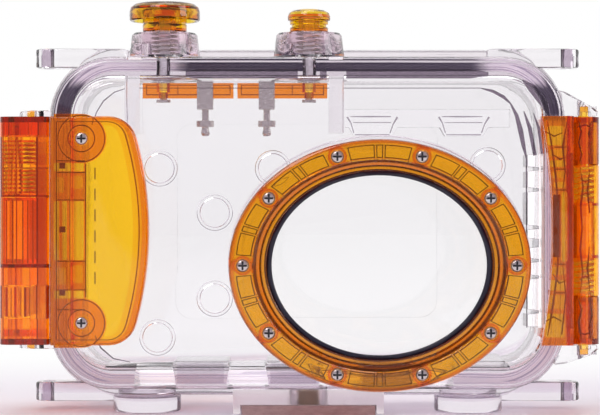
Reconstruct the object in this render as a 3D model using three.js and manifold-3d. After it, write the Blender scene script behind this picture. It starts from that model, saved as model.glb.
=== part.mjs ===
// Clear underwater case for a compact camera, in millimetres.
// X runs to the right across the front, Y away from the viewer and Z up. The origin is the middle
// of the footprint, on the surface that the case stands on.

import * as THREE from 'three';
import * as BufferGeometryUtils from 'three/addons/utils/BufferGeometryUtils.js';
import Module from 'manifold-3d';

const wasm = await Module();
wasm.setup();

// Fits that all pieces share
const seatGap = 0.3;
const overrun = 2;

// Steps of round shapes
const cornerSteps = 4;
const roundSteps = 2;
const sealRoundSteps = 1;
const portSteps = 48;
const turnedSteps = 22;
const smallSteps = 10;
const coilStepsPerCurl = 8;
const coilEndSteps = 2;
const coilSides = 5;
const coilPointsPerCurl = 24;

// Case halves: outline of the sealing rim, the shells inside it, and the plane where they meet
const caseCentreX = 2.1;
const caseBottomZ = 3.6;
const caseWidth = 146;
const caseHeight = 97.4;
const caseCornerRadius = 20;
const rimOverhang = 3.6;
const rimDepth = 5;
const shellWall = 5;
const shellEdgeRound = 3;
const frontWall = 4;
const rearWall = 4;
const frontDepth = 32;
const rearDepth = 20;
const partingY = 18;

// Screen window in the rear wall
const windowWidth = 76;
const windowHeight = 56;
const windowCornerRadius = 5;
const windowSink = 0.8;

// Main seal, in a groove of the rear rim
const sealInset = 3.2;
const sealWidth = 3.9;
const sealDepth = 2.9;
const sealRound = 1.1;

// Port: an oval tube, as high as this share of its width, that carries the glass and the ring
const portX = 20.7;
const portZ = 41.4;
const portHeightShare = 0.836;
const portLength = 24;
const portTubeWall = 1.9;
const portFlangeMargin = 0.3;
const portFlangeDepth = 5;
const portFlangeRise = 1;
const glassRadius = 33.2;
const glassThickness = 3;
const glassSeatWidth = 2.8;
const gasketInset = 4.5;
const gasketWidth = 2.3;
const gasketThickness = 1.2;
const ringWidth = 5.8;
const ringDepth = 5.7;
const ringLipWidths = [2.3, 1.2];
const ringLipRelief = 0.2;
const ringLipDepthShares = [0.3, 0.6, 0.85];
const ringEdgeRound = 1.1;

// Screws of the port ring
const portScrewCount = 10;
const portScrewShare = 0.362;
const portScrewLength = 8;
const screwHeadRadius = 1.7;
const screwTopRadius = 1.1;
const screwHeadHeight = 1.1;
const screwShankRadius = 0.95;
const screwHeadSink = 0.35;
const screwSlotWidth = 0.5;
const screwSlotLength = 1.9;
const screwSlotDepth = 0.6;

// Buttons: each one a cap on a shaft through a boss on the top wall
const buttonY = 2;
const shutterX = -37.5;
const powerX = 2.5;
const buttonTravel = 3;
const bossRise = 7.3;
const bossBaseRadius = 10.6;
const bossTopRadius = 9;
const springPocketRadius = 4.6;
const springPocketDepth = 3.4;
const sealPocketRadius = 3.4;
const sealPocketDepth = 2.6;
const capStandOff = 0.4;
const shaftRadius = 1.6;
const capSocketDepth = 4;
const shutterStemRadius = 6.1;
const shutterStemHeight = 3.7;
const shutterCapRadius = 9.75;
const shutterCapHeight = 4.4;
const shutterCapLip = 0.7;
const powerStemRadius = 5.3;
const powerCapRadius = 5.9;
const powerCapHeight = 6.4;
const powerGrooveHeight = 0.8;
const powerGrooveDepth = 0.5;
const powerGrooveShare = 0.2;

// Button springs, shaft seals and retaining clips
const buttonSpringRadius = 3.5;
const buttonSpringWire = 0.6;
const buttonSpringCurls = 5;
const shaftSealRadius = 3;
const shaftSealHeight = 1.9;
const clipRadius = 3.2;
const clipThickness = 0.6;

// Bars under the buttons, with the sliding fingers that reach the camera's own buttons
const barHeight = 4.7;
const barDepth = 4.6;
const barDrop = 1.4;
const barFloor = 1.7;
const barReachPast = 5.6;
const shutterBarReach = 19.3;
const powerBarReach = 19.6;
const barScrewHeadRadius = 2;
const barScrewHeadHeight = 0.8;
const fingerWidth = 4.4;
const fingerWall = 0.8;
const fingerFoot = 2.7;
const shutterFingerOffset = 11.5;
const powerFingerOffset = -11.6;
const tipShankRadius = 1;
const tipShankLength = 3.7;
const tipFlangeRadius = 2.5;
const tipFlangeHeight = 1.7;
const tipEndRadius = 1.3;
const tipPointRadius = 0.9;
const tipEndLength = 2.5;
const tipTopInset = 0.7;

// Guide ribs beside the bars
const guideRibWidth = 4.1;
const guideRibDepth = 16;
const guideRibHeight = 15.6;

// Racks that hold the camera: a comb on the floor, one on the right wall, one under the top wall.
// The teeth of a comb start and end at these shares of its length.
const trayInset = 9.5;
const trayDepth = 24;
const trayComb = {
  base: 1,
  rise: 1.4,
  taper: 0.4,
  toothShares: [[0.166, 0.307], [0.395, 0.536], [0.623, 0.765], [0.852, 0.993]],
};
const floorPocketDepth = 3.3;
const floorPocketFlare = 0.9;
const sideRackInset = 11.7;
const sideRackShare = 0.5885;
const sideRackDepth = 15;
const sideComb = {
  base: 1.5,
  rise: 3,
  taper: 0.3,
  toothShares: [[0, 0.085], [0.1, 0.285], [0.3, 0.38], [0.395, 0.465], [0.51, 0.57], [0.585, 0.785],
    [0.8, 0.905], [0.92, 1]],
};
const topRackDrop = 9.3;
const topRackInset = 9.5;
const topRackDepth = 6;
const topComb = {
  base: 4.9,
  rise: 2.4,
  taper: 1.4,
  toothShares: [[0.023, 0.318], [0.574, 0.869]],
};

// Strap ears at the four corners of the front rim
const earReach = 3.4;
const earLength = 26;
const earDepth = 10;
const earThickness = 5.3;
const earDrop = 1.3;
const earCornerRadius = 3.5;
const earHoleRadius = 1.7;
const earHoleInset = 3.6;

// Feet and tripod socket
const footRadius = 9.4;
const footSoleRadius = 8.6;
const footNeckRadius = 8;
const footHeight = 4.6;
const footY = 3;
const leftFootX = -42.4;
const rightFootX = 46.6;
const tripodX = 2.3;
const tripodY = 2;
const tripodWidth = 41;
const tripodDepth = 24;
const tripodWall = 2;
const tripodLift = 0.4;
const plateThickness = 2.6;
const insertRadius = 5;
const insertBoreRadius = 2.6;
const insertHeight = 6.4;

// Hinge on the left: barrel on the front half, leaf on the rear cover, pin through both
const hingeRadius = 5;
const hingeBottomInset = 15.9;
const hingeTopInset = 20;
const hingeFrontOverlap = 1.5;
const hingeFrontRound = 4;
const barrelBackInset = 0.8;
const leafBottomShare = 0.35;
const leafTopShare = 0.353;
const leafArmThickness = 4;
const leafPlateThickness = 3;
const leafPlateDepth = 11.7;
const leafPlateOverhang = 12;
const pinRadius = 1.5;
const lugThickness = 2.6;
const lugRadius = 3.6;
const hingeSpringPocketRadius = 3.4;
const hingeSpringPocketShare = 0.783;
const hingeSpringRadius = 2.5;
const hingeSpringWire = 0.8;
const hingeSpringCurls = 5;
const hingeSpringLengthShare = 0.9;

// Cover plate of the hinge on the front wall
const coverWidth = 26.7;
const coverEndWidth = 21.6;
const coverEndLean = 2;
const coverCornerRadius = 6.5;
const coverThickness = 4.7;
const coverEdgeRound = 1.2;
const coverSkin = 1.8;
const coverScrewInset = 8.4;
const coverScrewMargin = 6;
const coverScrewLength = 6;
const coverBossRadius = 5.4;
const coverPocketMargin = 3;

// Latch on the right: plate on the front half, lever on its pin
const latchStandOff = 1.9;
const latchPinY = -10;
const latchRadius = 4.2;
const latchStripThickness = 1.5;
const latchLeverBackY = 26.5;
const latchBackRound = 3;
const latchKnuckleShare = 0.208;
const latchPlateWidth = 8.5;
const latchPlateWaist = 3.8;
const latchPlateThickness = 4.2;
const latchSideDepth = 10;
const latchMiddleShare = 0.244;
const latchSpringRadius = 2.6;
const latchSpringWire = 0.8;
const latchSpringCurls = 6;

// Finishes
const clearPlastic = { color: '#e8e6f0', roughness: 0.06, metalness: 0, transparent: true, opacity: 0.35 };
const amberPlastic = { color: '#f2a313', roughness: 0.1, metalness: 0, transparent: true, opacity: 0.8 };
const portGlassFinish = { color: '#f4f6f7', roughness: 0.02, metalness: 0, transparent: true, opacity: 0.2 };
const blackRubber = { color: '#201c26', roughness: 0.6, metalness: 0 };
const brightSteel = { color: '#b9b4b4', roughness: 0.25, metalness: 1 };
const plateMetal = { color: '#9c8f88', roughness: 0.45, metalness: 1 };
const brass = { color: '#b8964e', roughness: 0.35, metalness: 1 };

// Places worked out from the sizes
const frontFaceY = partingY - frontDepth;
const rearFaceY = partingY + rearDepth;
const frontInnerY = frontFaceY + frontWall;
const rimFrontY = partingY - seatGap - rimDepth;
const frontRimFaceY = partingY - seatGap;
const rearRimBackY = partingY + rimDepth;
const caseLeftX = caseCentreX - caseWidth / 2;
const caseRightX = caseCentreX + caseWidth / 2;
const caseTopZ = caseBottomZ + caseHeight;
const caseCentreZ = caseBottomZ + caseHeight / 2;
const shellLeftX = caseLeftX + rimOverhang;
const shellRightX = caseRightX - rimOverhang;
const shellTopZ = caseTopZ - rimOverhang;
const shellBottomZ = caseBottomZ + rimOverhang;
const cavityInset = rimOverhang + shellWall;
const cavityLeftX = caseLeftX + cavityInset;
const cavityRightX = caseRightX - cavityInset;
const cavityTopZ = caseTopZ - cavityInset;
const cavityBottomZ = caseBottomZ + cavityInset;
const trayLength = cavityRightX - cavityLeftX - 2 * trayInset;
const sideRackLength = (cavityTopZ - cavityBottomZ) * sideRackShare;
const glassSocketRadius = glassRadius + seatGap;
const ringRadius = glassSocketRadius + ringWidth;
const ringLipRadii = [...ringLipWidths.map((width) => glassRadius - width), glassRadius + ringLipRelief];
const portScrewCircleRadius = glassSocketRadius + ringWidth * portScrewShare;
const portTubeRadius = glassSocketRadius + portTubeWall;
const portBoreRadius = glassRadius - glassSeatWidth;
const portFlangeRadius = ringRadius + portFlangeMargin;
const gasketRadius = glassRadius - gasketInset;
const gasketOuterRadius = gasketRadius + gasketWidth;
const ringFrontY = frontFaceY - portLength;
const ringBackY = ringFrontY + ringDepth;
const tubeFrontY = ringBackY + seatGap;
const gasketBackY = ringBackY - seatGap;
const gasketFrontY = gasketBackY - gasketThickness;
const lipBackY = gasketFrontY - seatGap;
const glassBackY = ringBackY + glassThickness;
const glassSeatY = glassBackY + seatGap;
const bossTopZ = shellTopZ + bossRise;
const stemRecessDepth = buttonTravel + capStandOff;
const stemRecessZ = bossTopZ - stemRecessDepth;
const springFloorZ = stemRecessZ - springPocketDepth;
const sealFloorZ = springFloorZ - sealPocketDepth;
const capBottomZ = bossTopZ + capStandOff;
const barTopZ = cavityTopZ - barDrop;
const barBottomZ = barTopZ - barHeight;
const shaftBottomZ = barBottomZ + barFloor + seatGap;
const fingerTopZ = barTopZ + seatGap + fingerWall;
const fingerBottomZ = barBottomZ - seatGap - fingerFoot;
const shaftHoleRadius = shaftRadius + seatGap;
const hingeX = caseLeftX - seatGap - hingeRadius;
const hingeBottomZ = caseBottomZ + hingeBottomInset;
const hingeTopZ = caseTopZ - hingeTopInset;
const hingeHeight = hingeTopZ - hingeBottomZ;
const leafBottomZ = hingeBottomZ + hingeHeight * leafBottomShare;
const leafTopZ = hingeTopZ - hingeHeight * leafTopShare;
const hingeSpringPocketDepth = (hingeTopZ - leafTopZ) * hingeSpringPocketShare;
const barrelInnerX = shellLeftX - seatGap;
const barrelFrontY = frontFaceY - hingeFrontOverlap;
const barrelBackY = partingY - hingeRadius - barrelBackInset;
const latchX = caseRightX + latchStandOff;
const latchStripLeftX = shellRightX + seatGap;
const latchStripRightX = latchStripLeftX + latchStripThickness;
const leverInnerX = latchStripRightX + seatGap * 2;
const leverOuterX = latchX + latchRadius;
const latchSleeveRadius = latchSpringRadius + latchSpringWire / 2 + seatGap;
const latchKnuckleHeight = hingeHeight * latchKnuckleShare;
const latchMiddleHeight = hingeHeight * latchMiddleShare;
const leverReliefX = caseRightX + seatGap;

// A closed body from a geometry: shared corners merged, flat triangles dropped, faces outwards
function closed(geometry) {
  const bare = geometry.clone();
  for (const extra of ['normal', 'uv']) bare.deleteAttribute(extra);
  const merged = BufferGeometryUtils.mergeVertices(bare);
  const corners = merged.index.array;
  const kept = [];
  for (let i = 0; i < corners.length; i += 3) {
    const [a, b, c] = corners.slice(i, i + 3);
    if (a !== b && b !== c && c !== a) kept.push(a, b, c);
  }
  merged.setIndex(signedVolume(merged, kept) < 0 ? kept.reverse() : kept);
  return merged;
}

function signedVolume(geometry, corners) {
  const place = geometry.attributes.position;
  const [a, b, c] = [new THREE.Vector3(), new THREE.Vector3(), new THREE.Vector3()];
  let total = 0;
  for (let i = 0; i < corners.length; i += 3) {
    a.fromBufferAttribute(place, corners[i]);
    b.fromBufferAttribute(place, corners[i + 1]);
    c.fromBufferAttribute(place, corners[i + 2]);
    total += a.dot(b.cross(c));
  }
  return total;
}

function toSolid(geometry) {
  const body = closed(geometry);
  return new wasm.Manifold(new wasm.Mesh({
    numProp: 3,
    vertProperties: new Float32Array(body.attributes.position.array),
    triVerts: new Uint32Array(body.index.array),
  }));
}

// One geometry from several pieces joined, with the cuts taken away
function joined(pieces, cuts = []) {
  let solid = toSolid(pieces[0]);
  for (const piece of pieces.slice(1)) solid = solid.add(toSolid(piece));
  for (const cut of cuts) solid = solid.subtract(toSolid(cut));
  const mesh = solid.getMesh();
  const geometry = new THREE.BufferGeometry();
  geometry.setAttribute('position', new THREE.BufferAttribute(mesh.vertProperties, 3));
  geometry.setIndex(new THREE.BufferAttribute(mesh.triVerts, 1));
  return geometry;
}

function roundedRect(width, height, radius) {
  const shape = new THREE.Shape();
  const right = width / 2 - radius;
  const top = height / 2 - radius;
  shape.absarc(right, top, radius, 0, Math.PI / 2);
  shape.absarc(-right, top, radius, Math.PI / 2, Math.PI);
  shape.absarc(-right, -top, radius, Math.PI, Math.PI * 1.5);
  shape.absarc(right, -top, radius, Math.PI * 1.5, Math.PI * 2);
  return shape;
}

function polygon(points) {
  return new THREE.Shape(points.map(([x, y]) => new THREE.Vector2(x, y)));
}

function extruded(shape, length, round, bevelSegments = roundSteps) {
  return new THREE.ExtrudeGeometry(shape, {
    depth: length - 2 * round,
    bevelEnabled: round > 0,
    bevelThickness: round,
    bevelSize: round,
    bevelOffset: -round,
    bevelSegments,
    curveSegments: cornerSteps,
  });
}

// An outline drawn in X and Z, made solid from frontY back to backY
function alongDepth(shape, frontY, backY, round = 0, bevelSegments = roundSteps) {
  const geometry = extruded(shape, backY - frontY, round, bevelSegments);
  geometry.rotateX(Math.PI / 2);
  geometry.translate(0, backY - round, 0);
  return geometry;
}

// An outline drawn in X and Y, made solid from bottomZ up to topZ
function upright(shape, bottomZ, topZ, round = 0) {
  const geometry = extruded(shape, topZ - bottomZ, round);
  geometry.translate(0, 0, bottomZ + round);
  return geometry;
}

function block(leftX, rightX, frontY, backY, bottomZ, topZ) {
  const geometry = new THREE.BoxGeometry(rightX - leftX, backY - frontY, topZ - bottomZ);
  geometry.translate((leftX + rightX) / 2, (frontY + backY) / 2, (bottomZ + topZ) / 2);
  return geometry;
}

// A profile of [radius, height] pairs turned about an upright axis
function turned(profile, steps = turnedSteps) {
  const geometry = new THREE.LatheGeometry(profile.map(([r, z]) => new THREE.Vector2(r, z)), steps);
  geometry.rotateX(Math.PI / 2);
  return geometry;
}

function post(x, y, radius, bottomZ, topZ, steps = smallSteps) {
  const geometry = turned([[0, bottomZ], [radius, bottomZ], [radius, topZ], [0, topZ]], steps);
  geometry.translate(x, y, 0);
  return geometry;
}

// A profile of [radius, Y] pairs turned about the port's axis and pressed to its oval
function oval(profile, rise = 0) {
  const geometry = new THREE.LatheGeometry(profile.map(([r, y]) => new THREE.Vector2(r, y)), portSteps);
  geometry.scale(1, 1, portHeightShare);
  geometry.translate(portX, 0, portZ + rise);
  return geometry;
}

// A turned piece lying along Y, with its head towards the viewer
function facingFront(geometry) {
  geometry.rotateX(Math.PI / 2);
  return geometry;
}

function caseOutline(inset) {
  return roundedRect(caseWidth - 2 * inset, caseHeight - 2 * inset, caseCornerRadius - inset);
}

function casePrism(inset, frontY, backY, round = 0) {
  const geometry = alongDepth(caseOutline(inset), frontY, backY, round);
  geometry.translate(caseCentreX, 0, caseCentreZ);
  return geometry;
}

function part(name, geometry, finish) {
  const mesh = new THREE.Mesh(closed(geometry), new THREE.MeshStandardMaterial(finish));
  mesh.name = name;
  return mesh;
}

// Places of the port screws on the oval
function portScrewPlaces() {
  const places = [];
  for (let i = 0; i < portScrewCount; i += 1) {
    const angle = (2 * Math.PI * i) / portScrewCount;
    const x = portX + portScrewCircleRadius * Math.cos(angle);
    const z = portZ + portScrewCircleRadius * portHeightShare * Math.sin(angle);
    places.push([x, z]);
  }
  return places;
}

function holeAlongY(x, z, radius, frontY, backY) {
  const profile = [[0, -backY], [radius, -backY], [radius, -frontY], [0, -frontY]];
  const geometry = facingFront(turned(profile, smallSteps));
  geometry.translate(x, 0, z);
  return geometry;
}

// Strap ear with its rounded outer end; side is -1 on the left and 1 on the right
function ear(side, topZ) {
  const outerX = side < 0 ? caseLeftX - earReach : caseRightX + earReach;
  const shape = roundedRect(earLength, earDepth, earCornerRadius);
  const geometry = upright(shape, topZ - earThickness, topZ);
  geometry.translate(outerX - (side * earLength) / 2, frontRimFaceY - earDepth / 2, 0);
  return geometry;
}

function earHole(side) {
  const outerX = side < 0 ? caseLeftX - earReach : caseRightX + earReach;
  return post(outerX - side * earHoleInset, frontRimFaceY - earDepth / 2, earHoleRadius,
    caseBottomZ - earThickness, caseTopZ + overrun);
}

function foot(x) {
  const topZ = shellBottomZ + seatGap;
  const profile = [[0, 0], [footSoleRadius, 0], [footRadius, footRadius - footSoleRadius],
    [footRadius, footHeight], [footNeckRadius, footHeight], [footNeckRadius, topZ], [0, topZ]];
  const geometry = turned(profile);
  geometry.translate(x, footY, 0);
  return geometry;
}

// Block under the floor, open below, that holds the tripod plate
function tripodBlock() {
  return block(tripodX - tripodWidth / 2, tripodX + tripodWidth / 2, tripodY - tripodDepth / 2,
    tripodY + tripodDepth / 2, tripodLift, shellBottomZ + seatGap);
}

function tripodSlot() {
  return block(tripodX - tripodWidth / 2 + tripodWall, tripodX + tripodWidth / 2 - tripodWall,
    tripodY - tripodDepth / 2 - overrun, tripodY + tripodDepth / 2 - tripodWall,
    tripodLift - overrun, plateThickness + seatGap);
}

// Clear lug that carries one end of a pin; reachX is where it grows out of the case
function pinLug(x, y, reachX, reachFrontY, reachBackY, bottomZ) {
  const arm = block(Math.min(x, reachX), Math.max(x, reachX), reachFrontY, reachBackY, bottomZ,
    bottomZ + lugThickness);
  return joined([arm, post(x, y, lugRadius, bottomZ, bottomZ + lugThickness, turnedSteps)]);
}

function pinLugs() {
  const lugs = [];
  for (const bottomZ of [hingeTopZ + seatGap, hingeBottomZ - seatGap - lugThickness]) {
    lugs.push(pinLug(hingeX, partingY, caseLeftX + rimDepth, rimFrontY, frontRimFaceY, bottomZ));
    lugs.push(pinLug(latchX, latchPinY, shellRightX - shellWall / 2, latchPinY - lugRadius,
      latchPinY + lugRadius, bottomZ));
  }
  return lugs;
}

function boss(x) {
  const geometry = turned([[0, shellTopZ - shellWall / 2], [bossBaseRadius, shellTopZ - shellWall / 2],
    [bossBaseRadius, shellTopZ], [bossTopRadius, bossTopZ - seatGap * 2],
    [bossTopRadius - seatGap * 2, bossTopZ], [0, bossTopZ]]);
  geometry.translate(x, buttonY, 0);
  return geometry;
}

// Stepped bore of a boss: stem recess, spring pocket, seal pocket and shaft hole
function bossBore(x, stemRadius) {
  const recessRadius = stemRadius + seatGap;
  const geometry = turned([[0, cavityTopZ - overrun], [shaftHoleRadius, cavityTopZ - overrun],
    [shaftHoleRadius, sealFloorZ], [sealPocketRadius, sealFloorZ], [sealPocketRadius, springFloorZ],
    [springPocketRadius, springFloorZ], [springPocketRadius, stemRecessZ], [recessRadius, stemRecessZ],
    [recessRadius, bossTopZ + overrun], [0, bossTopZ + overrun]]);
  geometry.translate(x, buttonY, 0);
  return geometry;
}

// Ribs inside the front wall, just past the outer ends of the two bars
function guideRibs() {
  const leftBarX = shutterX - barReachPast - seatGap;
  const rightBarX = powerX + barReachPast - seatGap;
  const ribs = [[leftBarX - guideRibWidth, leftBarX], [rightBarX, rightBarX + guideRibWidth]];
  return ribs.map(([leftX, rightX]) => block(leftX, rightX, frontFaceY + frontWall / 2,
    frontInnerY + guideRibDepth, cavityTopZ - guideRibHeight, cavityTopZ + shellWall / 2));
}

function portTube() {
  const rootY = frontInnerY;
  const flangeBackY = tubeFrontY + portFlangeDepth;
  const tube = oval([[0, tubeFrontY], [portTubeRadius, tubeFrontY], [portTubeRadius, rootY], [0, rootY]]);
  const flange = oval([[0, tubeFrontY], [portFlangeRadius, tubeFrontY],
    [portFlangeRadius, flangeBackY], [0, flangeBackY]], portFlangeRise);
  return [tube, flange];
}

function portBore() {
  return oval([[0, tubeFrontY - overrun], [glassSocketRadius, tubeFrontY - overrun],
    [glassSocketRadius, glassSeatY], [portBoreRadius, glassSeatY],
    [portBoreRadius, frontInnerY + overrun], [0, frontInnerY + overrun]]);
}

function frontCase() {
  const solids = [
    casePrism(rimOverhang, frontFaceY, frontRimFaceY, shellEdgeRound),
    casePrism(0, rimFrontY, frontRimFaceY),
    ...portTube(),
    boss(shutterX),
    boss(powerX),
    ear(-1, caseTopZ),
    ear(1, caseTopZ),
    ear(-1, caseBottomZ - earDrop + earThickness),
    ear(1, caseBottomZ - earDrop + earThickness),
    foot(leftFootX),
    foot(rightFootX),
    tripodBlock(),
    ...pinLugs(),
  ];
  const shell = joined(solids, [
    casePrism(cavityInset, frontInnerY, partingY + overrun),
    portBore(),
    bossBore(shutterX, shutterStemRadius),
    bossBore(powerX, powerStemRadius),
    earHole(-1),
    earHole(1),
    tripodSlot(),
    ...floorPockets(),
    post(tripodX, tripodY, insertRadius + seatGap, 0, insertHeight + seatGap),
    post(hingeX, partingY, pinRadius + seatGap, 0, caseTopZ),
    post(latchX, latchPinY, pinRadius + seatGap, 0, caseTopZ),
    ...portScrewPlaces().map(([x, z]) => holeAlongY(x, z, screwShankRadius + seatGap,
      tubeFrontY - overrun, ringFrontY + screwHeadSink + screwHeadHeight + portScrewLength + seatGap)),
    ...coverScrewPlaces().map(([x, z]) => holeAlongY(x, z, screwShankRadius + seatGap,
      frontFaceY - overrun, coverFrontY() + screwHeadSink + screwHeadHeight + coverScrewLength + seatGap)),
  ]);
  return joined([shell, ...guideRibs()]);
}

function rearCover() {
  const grooveInset = sealInset - seatGap;
  const groove = joined([casePrism(grooveInset, partingY - overrun, partingY + sealDepth + seatGap)],
    [casePrism(sealInset + sealWidth + seatGap, partingY - overrun * 2, rearFaceY)]);
  const window = alongDepth(roundedRect(windowWidth, windowHeight, windowCornerRadius),
    rearFaceY - windowSink, rearFaceY + overrun);
  window.translate(caseCentreX, 0, caseCentreZ);
  return joined([
    casePrism(rimOverhang, partingY, rearFaceY, shellEdgeRound),
    casePrism(0, partingY, rearRimBackY),
  ], [
    casePrism(cavityInset, partingY - overrun, rearFaceY - rearWall),
    groove,
    window,
  ]);
}

function mainSeal() {
  const outline = caseOutline(sealInset);
  outline.holes.push(caseOutline(sealInset + sealWidth));
  const geometry = alongDepth(outline, partingY, partingY + sealDepth, sealRound, sealRoundSteps);
  geometry.translate(caseCentreX, 0, caseCentreZ);
  return geometry;
}

function portGlass() {
  return oval([[0, ringBackY], [glassRadius, ringBackY], [glassRadius, glassBackY], [0, glassBackY]]);
}

function portGasket() {
  return oval([[gasketRadius, gasketBackY], [gasketRadius, gasketFrontY], [gasketOuterRadius, gasketFrontY],
    [gasketOuterRadius, gasketBackY], [gasketRadius, gasketBackY]]);
}

// Ring with three inner steps, a seat for the gasket behind them and a counterbore for each screw
function portRing() {
  const seatRadius = gasketOuterRadius + seatGap;
  const lipSteps = ringLipDepthShares.map((share) => lipBackY + (ringFrontY - lipBackY) * share);
  const profile = [[ringLipRadii[0], lipBackY], [ringLipRadii[0], lipSteps[0]],
    [ringLipRadii[1], lipSteps[0]], [ringLipRadii[1], lipSteps[1]],
    [ringLipRadii[2], lipSteps[1]], [ringLipRadii[2], lipSteps[2]],
    [ringLipRadii[2] + ringEdgeRound / 2, ringFrontY], [ringRadius - ringEdgeRound, ringFrontY],
    [ringRadius, ringFrontY + ringEdgeRound], [ringRadius, ringBackY],
    [glassSocketRadius, ringBackY], [glassSocketRadius, gasketBackY], [seatRadius, gasketBackY],
    [seatRadius, lipBackY], [ringLipRadii[0], lipBackY]];
  const headSeatY = ringFrontY + screwHeadSink + screwHeadHeight + seatGap;
  const cuts = portScrewPlaces().flatMap(([x, z]) => [
    holeAlongY(x, z, screwHeadRadius + seatGap, ringFrontY - overrun, headSeatY),
    holeAlongY(x, z, screwShankRadius + seatGap, ringFrontY - overrun, ringBackY + overrun),
  ]);
  return joined([oval(profile)], cuts);
}

// Cross-slotted pan-head screw lying along Y, with the top of its head at Y zero
function crossScrew(length) {
  const tipZ = -screwHeadHeight - length;
  const body = turned([[0, tipZ], [screwShankRadius / 2, tipZ], [screwShankRadius, tipZ + screwShankRadius],
    [screwShankRadius, -screwHeadHeight], [screwHeadRadius, -screwHeadHeight],
    [screwHeadRadius, -screwHeadHeight / 2], [screwTopRadius, 0], [0, 0]], smallSteps);
  const slot = block(-screwSlotLength / 2, screwSlotLength / 2, -screwSlotWidth / 2, screwSlotWidth / 2,
    -screwSlotDepth, overrun);
  const crossing = slot.clone();
  crossing.rotateZ(Math.PI / 2);
  return facingFront(joined([body], [slot, crossing]));
}

function screwAt(name, x, y, z, length) {
  const screw = part(name, crossScrew(length), brightSteel);
  screw.position.set(x, y, z);
  return screw;
}

function portScrews() {
  return portScrewPlaces().map(([x, z], i) => screwAt(
    `port_screw_${String(i + 1).padStart(2, '0')}`, x, ringFrontY + screwHeadSink, z, portScrewLength));
}

// Coil about an upright axis, with a straight tangent end one wire thick at the bottom and the top
class CoilCurve extends THREE.Curve {
  constructor(radius, bottomZ, topZ, curls, wire) {
    super();
    Object.assign(this, { radius, bottomZ, topZ, curls, wire });
    this.coilLength = Math.hypot(2 * Math.PI * radius * curls, topZ - bottomZ);
  }

  getPoint(share, target = new THREE.Vector3()) {
    const along = share * (this.coilLength + 2 * this.wire) - this.wire;
    const onCoil = THREE.MathUtils.clamp(along, 0, this.coilLength);
    const past = along - onCoil;
    const angle = (2 * Math.PI * this.curls * onCoil) / this.coilLength;
    const z = this.bottomZ + ((this.topZ - this.bottomZ) * onCoil) / this.coilLength;
    return target.set(this.radius * Math.cos(angle) - past * Math.sin(angle),
      this.radius * Math.sin(angle) + past * Math.cos(angle), z);
  }
}

// Smallest clear distance between the turns of a coil, measured on points along it
function leastCoilGap(curve) {
  const steps = curve.curls * coilPointsPerCurl;
  const points = curve.getSpacedPoints(steps);
  const turn = coilPointsPerCurl / 2;
  let least = Infinity;
  for (let i = 0; i < points.length; i += 1) {
    for (let j = i + turn; j < points.length; j += 1) {
      least = Math.min(least, points[i].distanceTo(points[j]) - curve.wire);
    }
  }
  return least;
}

function coil(name, radius, bottomZ, topZ, curls, wire) {
  const curve = new CoilCurve(radius, bottomZ + wire / 2, topZ - wire / 2, curls, wire);
  const section = new THREE.Shape();
  for (let i = 0; i < coilSides; i += 1) {
    const angle = (2 * Math.PI * i) / coilSides;
    const point = [(wire / 2) * Math.cos(angle), (wire / 2) * Math.sin(angle)];
    if (i === 0) section.moveTo(...point);
    else section.lineTo(...point);
  }
  const steps = curls * coilStepsPerCurl + coilEndSteps;
  const geometry = new THREE.ExtrudeGeometry(section, { steps, extrudePath: curve });
  console.log(`${name}: least gap between turns ${leastCoilGap(curve).toFixed(2)} mm`);
  return part(name, geometry, brightSteel);
}

function shutterCap() {
  const underZ = capBottomZ + shutterStemHeight;
  const topZ = underZ + shutterCapHeight;
  const lipRadius = shutterCapRadius - shutterCapLip * 2;
  const lipTopZ = topZ - shutterCapLip;
  return turned([[0, capBottomZ + capSocketDepth], [shaftHoleRadius, capBottomZ + capSocketDepth],
    [shaftHoleRadius, capBottomZ], [shutterStemRadius, capBottomZ], [shutterStemRadius, underZ],
    [lipRadius, underZ], [lipRadius, underZ - shutterCapLip], [shutterCapRadius, underZ - shutterCapLip],
    [shutterCapRadius, topZ - shutterCapHeight / 2], [shutterCapRadius - shutterCapLip, lipTopZ],
    [shutterCapRadius - shutterCapLip * 3, topZ], [0, topZ]]);
}

function powerCap() {
  const topZ = capBottomZ + powerCapHeight;
  const grooveZ = capBottomZ + powerCapHeight * powerGrooveShare;
  const grooveTopZ = grooveZ + powerGrooveHeight;
  const shoulderZ = capBottomZ + buttonTravel;
  return turned([[0, capBottomZ + capSocketDepth], [shaftHoleRadius, capBottomZ + capSocketDepth],
    [shaftHoleRadius, capBottomZ], [powerStemRadius, capBottomZ], [powerStemRadius, grooveZ],
    [powerStemRadius - powerGrooveDepth, grooveZ], [powerStemRadius - powerGrooveDepth, grooveTopZ],
    [powerStemRadius, grooveTopZ], [powerStemRadius, shoulderZ], [powerCapRadius, shoulderZ],
    [powerCapRadius, topZ - powerGrooveHeight * 2],
    [powerCapRadius - powerGrooveHeight, topZ - powerGrooveHeight / 2],
    [powerCapRadius - powerGrooveHeight * 3, topZ], [0, topZ]]);
}

// Bar with the stepped hole that takes the shaft from above and its screw from below
function bar(leftX, rightX) {
  return joined([block(leftX, rightX, -barDepth / 2, barDepth / 2, barBottomZ, barTopZ)], [
    post(0, 0, shaftHoleRadius, barBottomZ + barFloor, barTopZ + overrun),
    post(0, 0, tipShankRadius + seatGap, barBottomZ - overrun, barTopZ),
  ]);
}

function barScrew() {
  return turned([[0, barBottomZ - seatGap - barScrewHeadHeight],
    [barScrewHeadRadius, barBottomZ - seatGap - barScrewHeadHeight],
    [barScrewHeadRadius, barBottomZ - seatGap], [tipShankRadius, barBottomZ - seatGap],
    [tipShankRadius, barBottomZ + barFloor], [0, barBottomZ + barFloor]], smallSteps);
}

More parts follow.
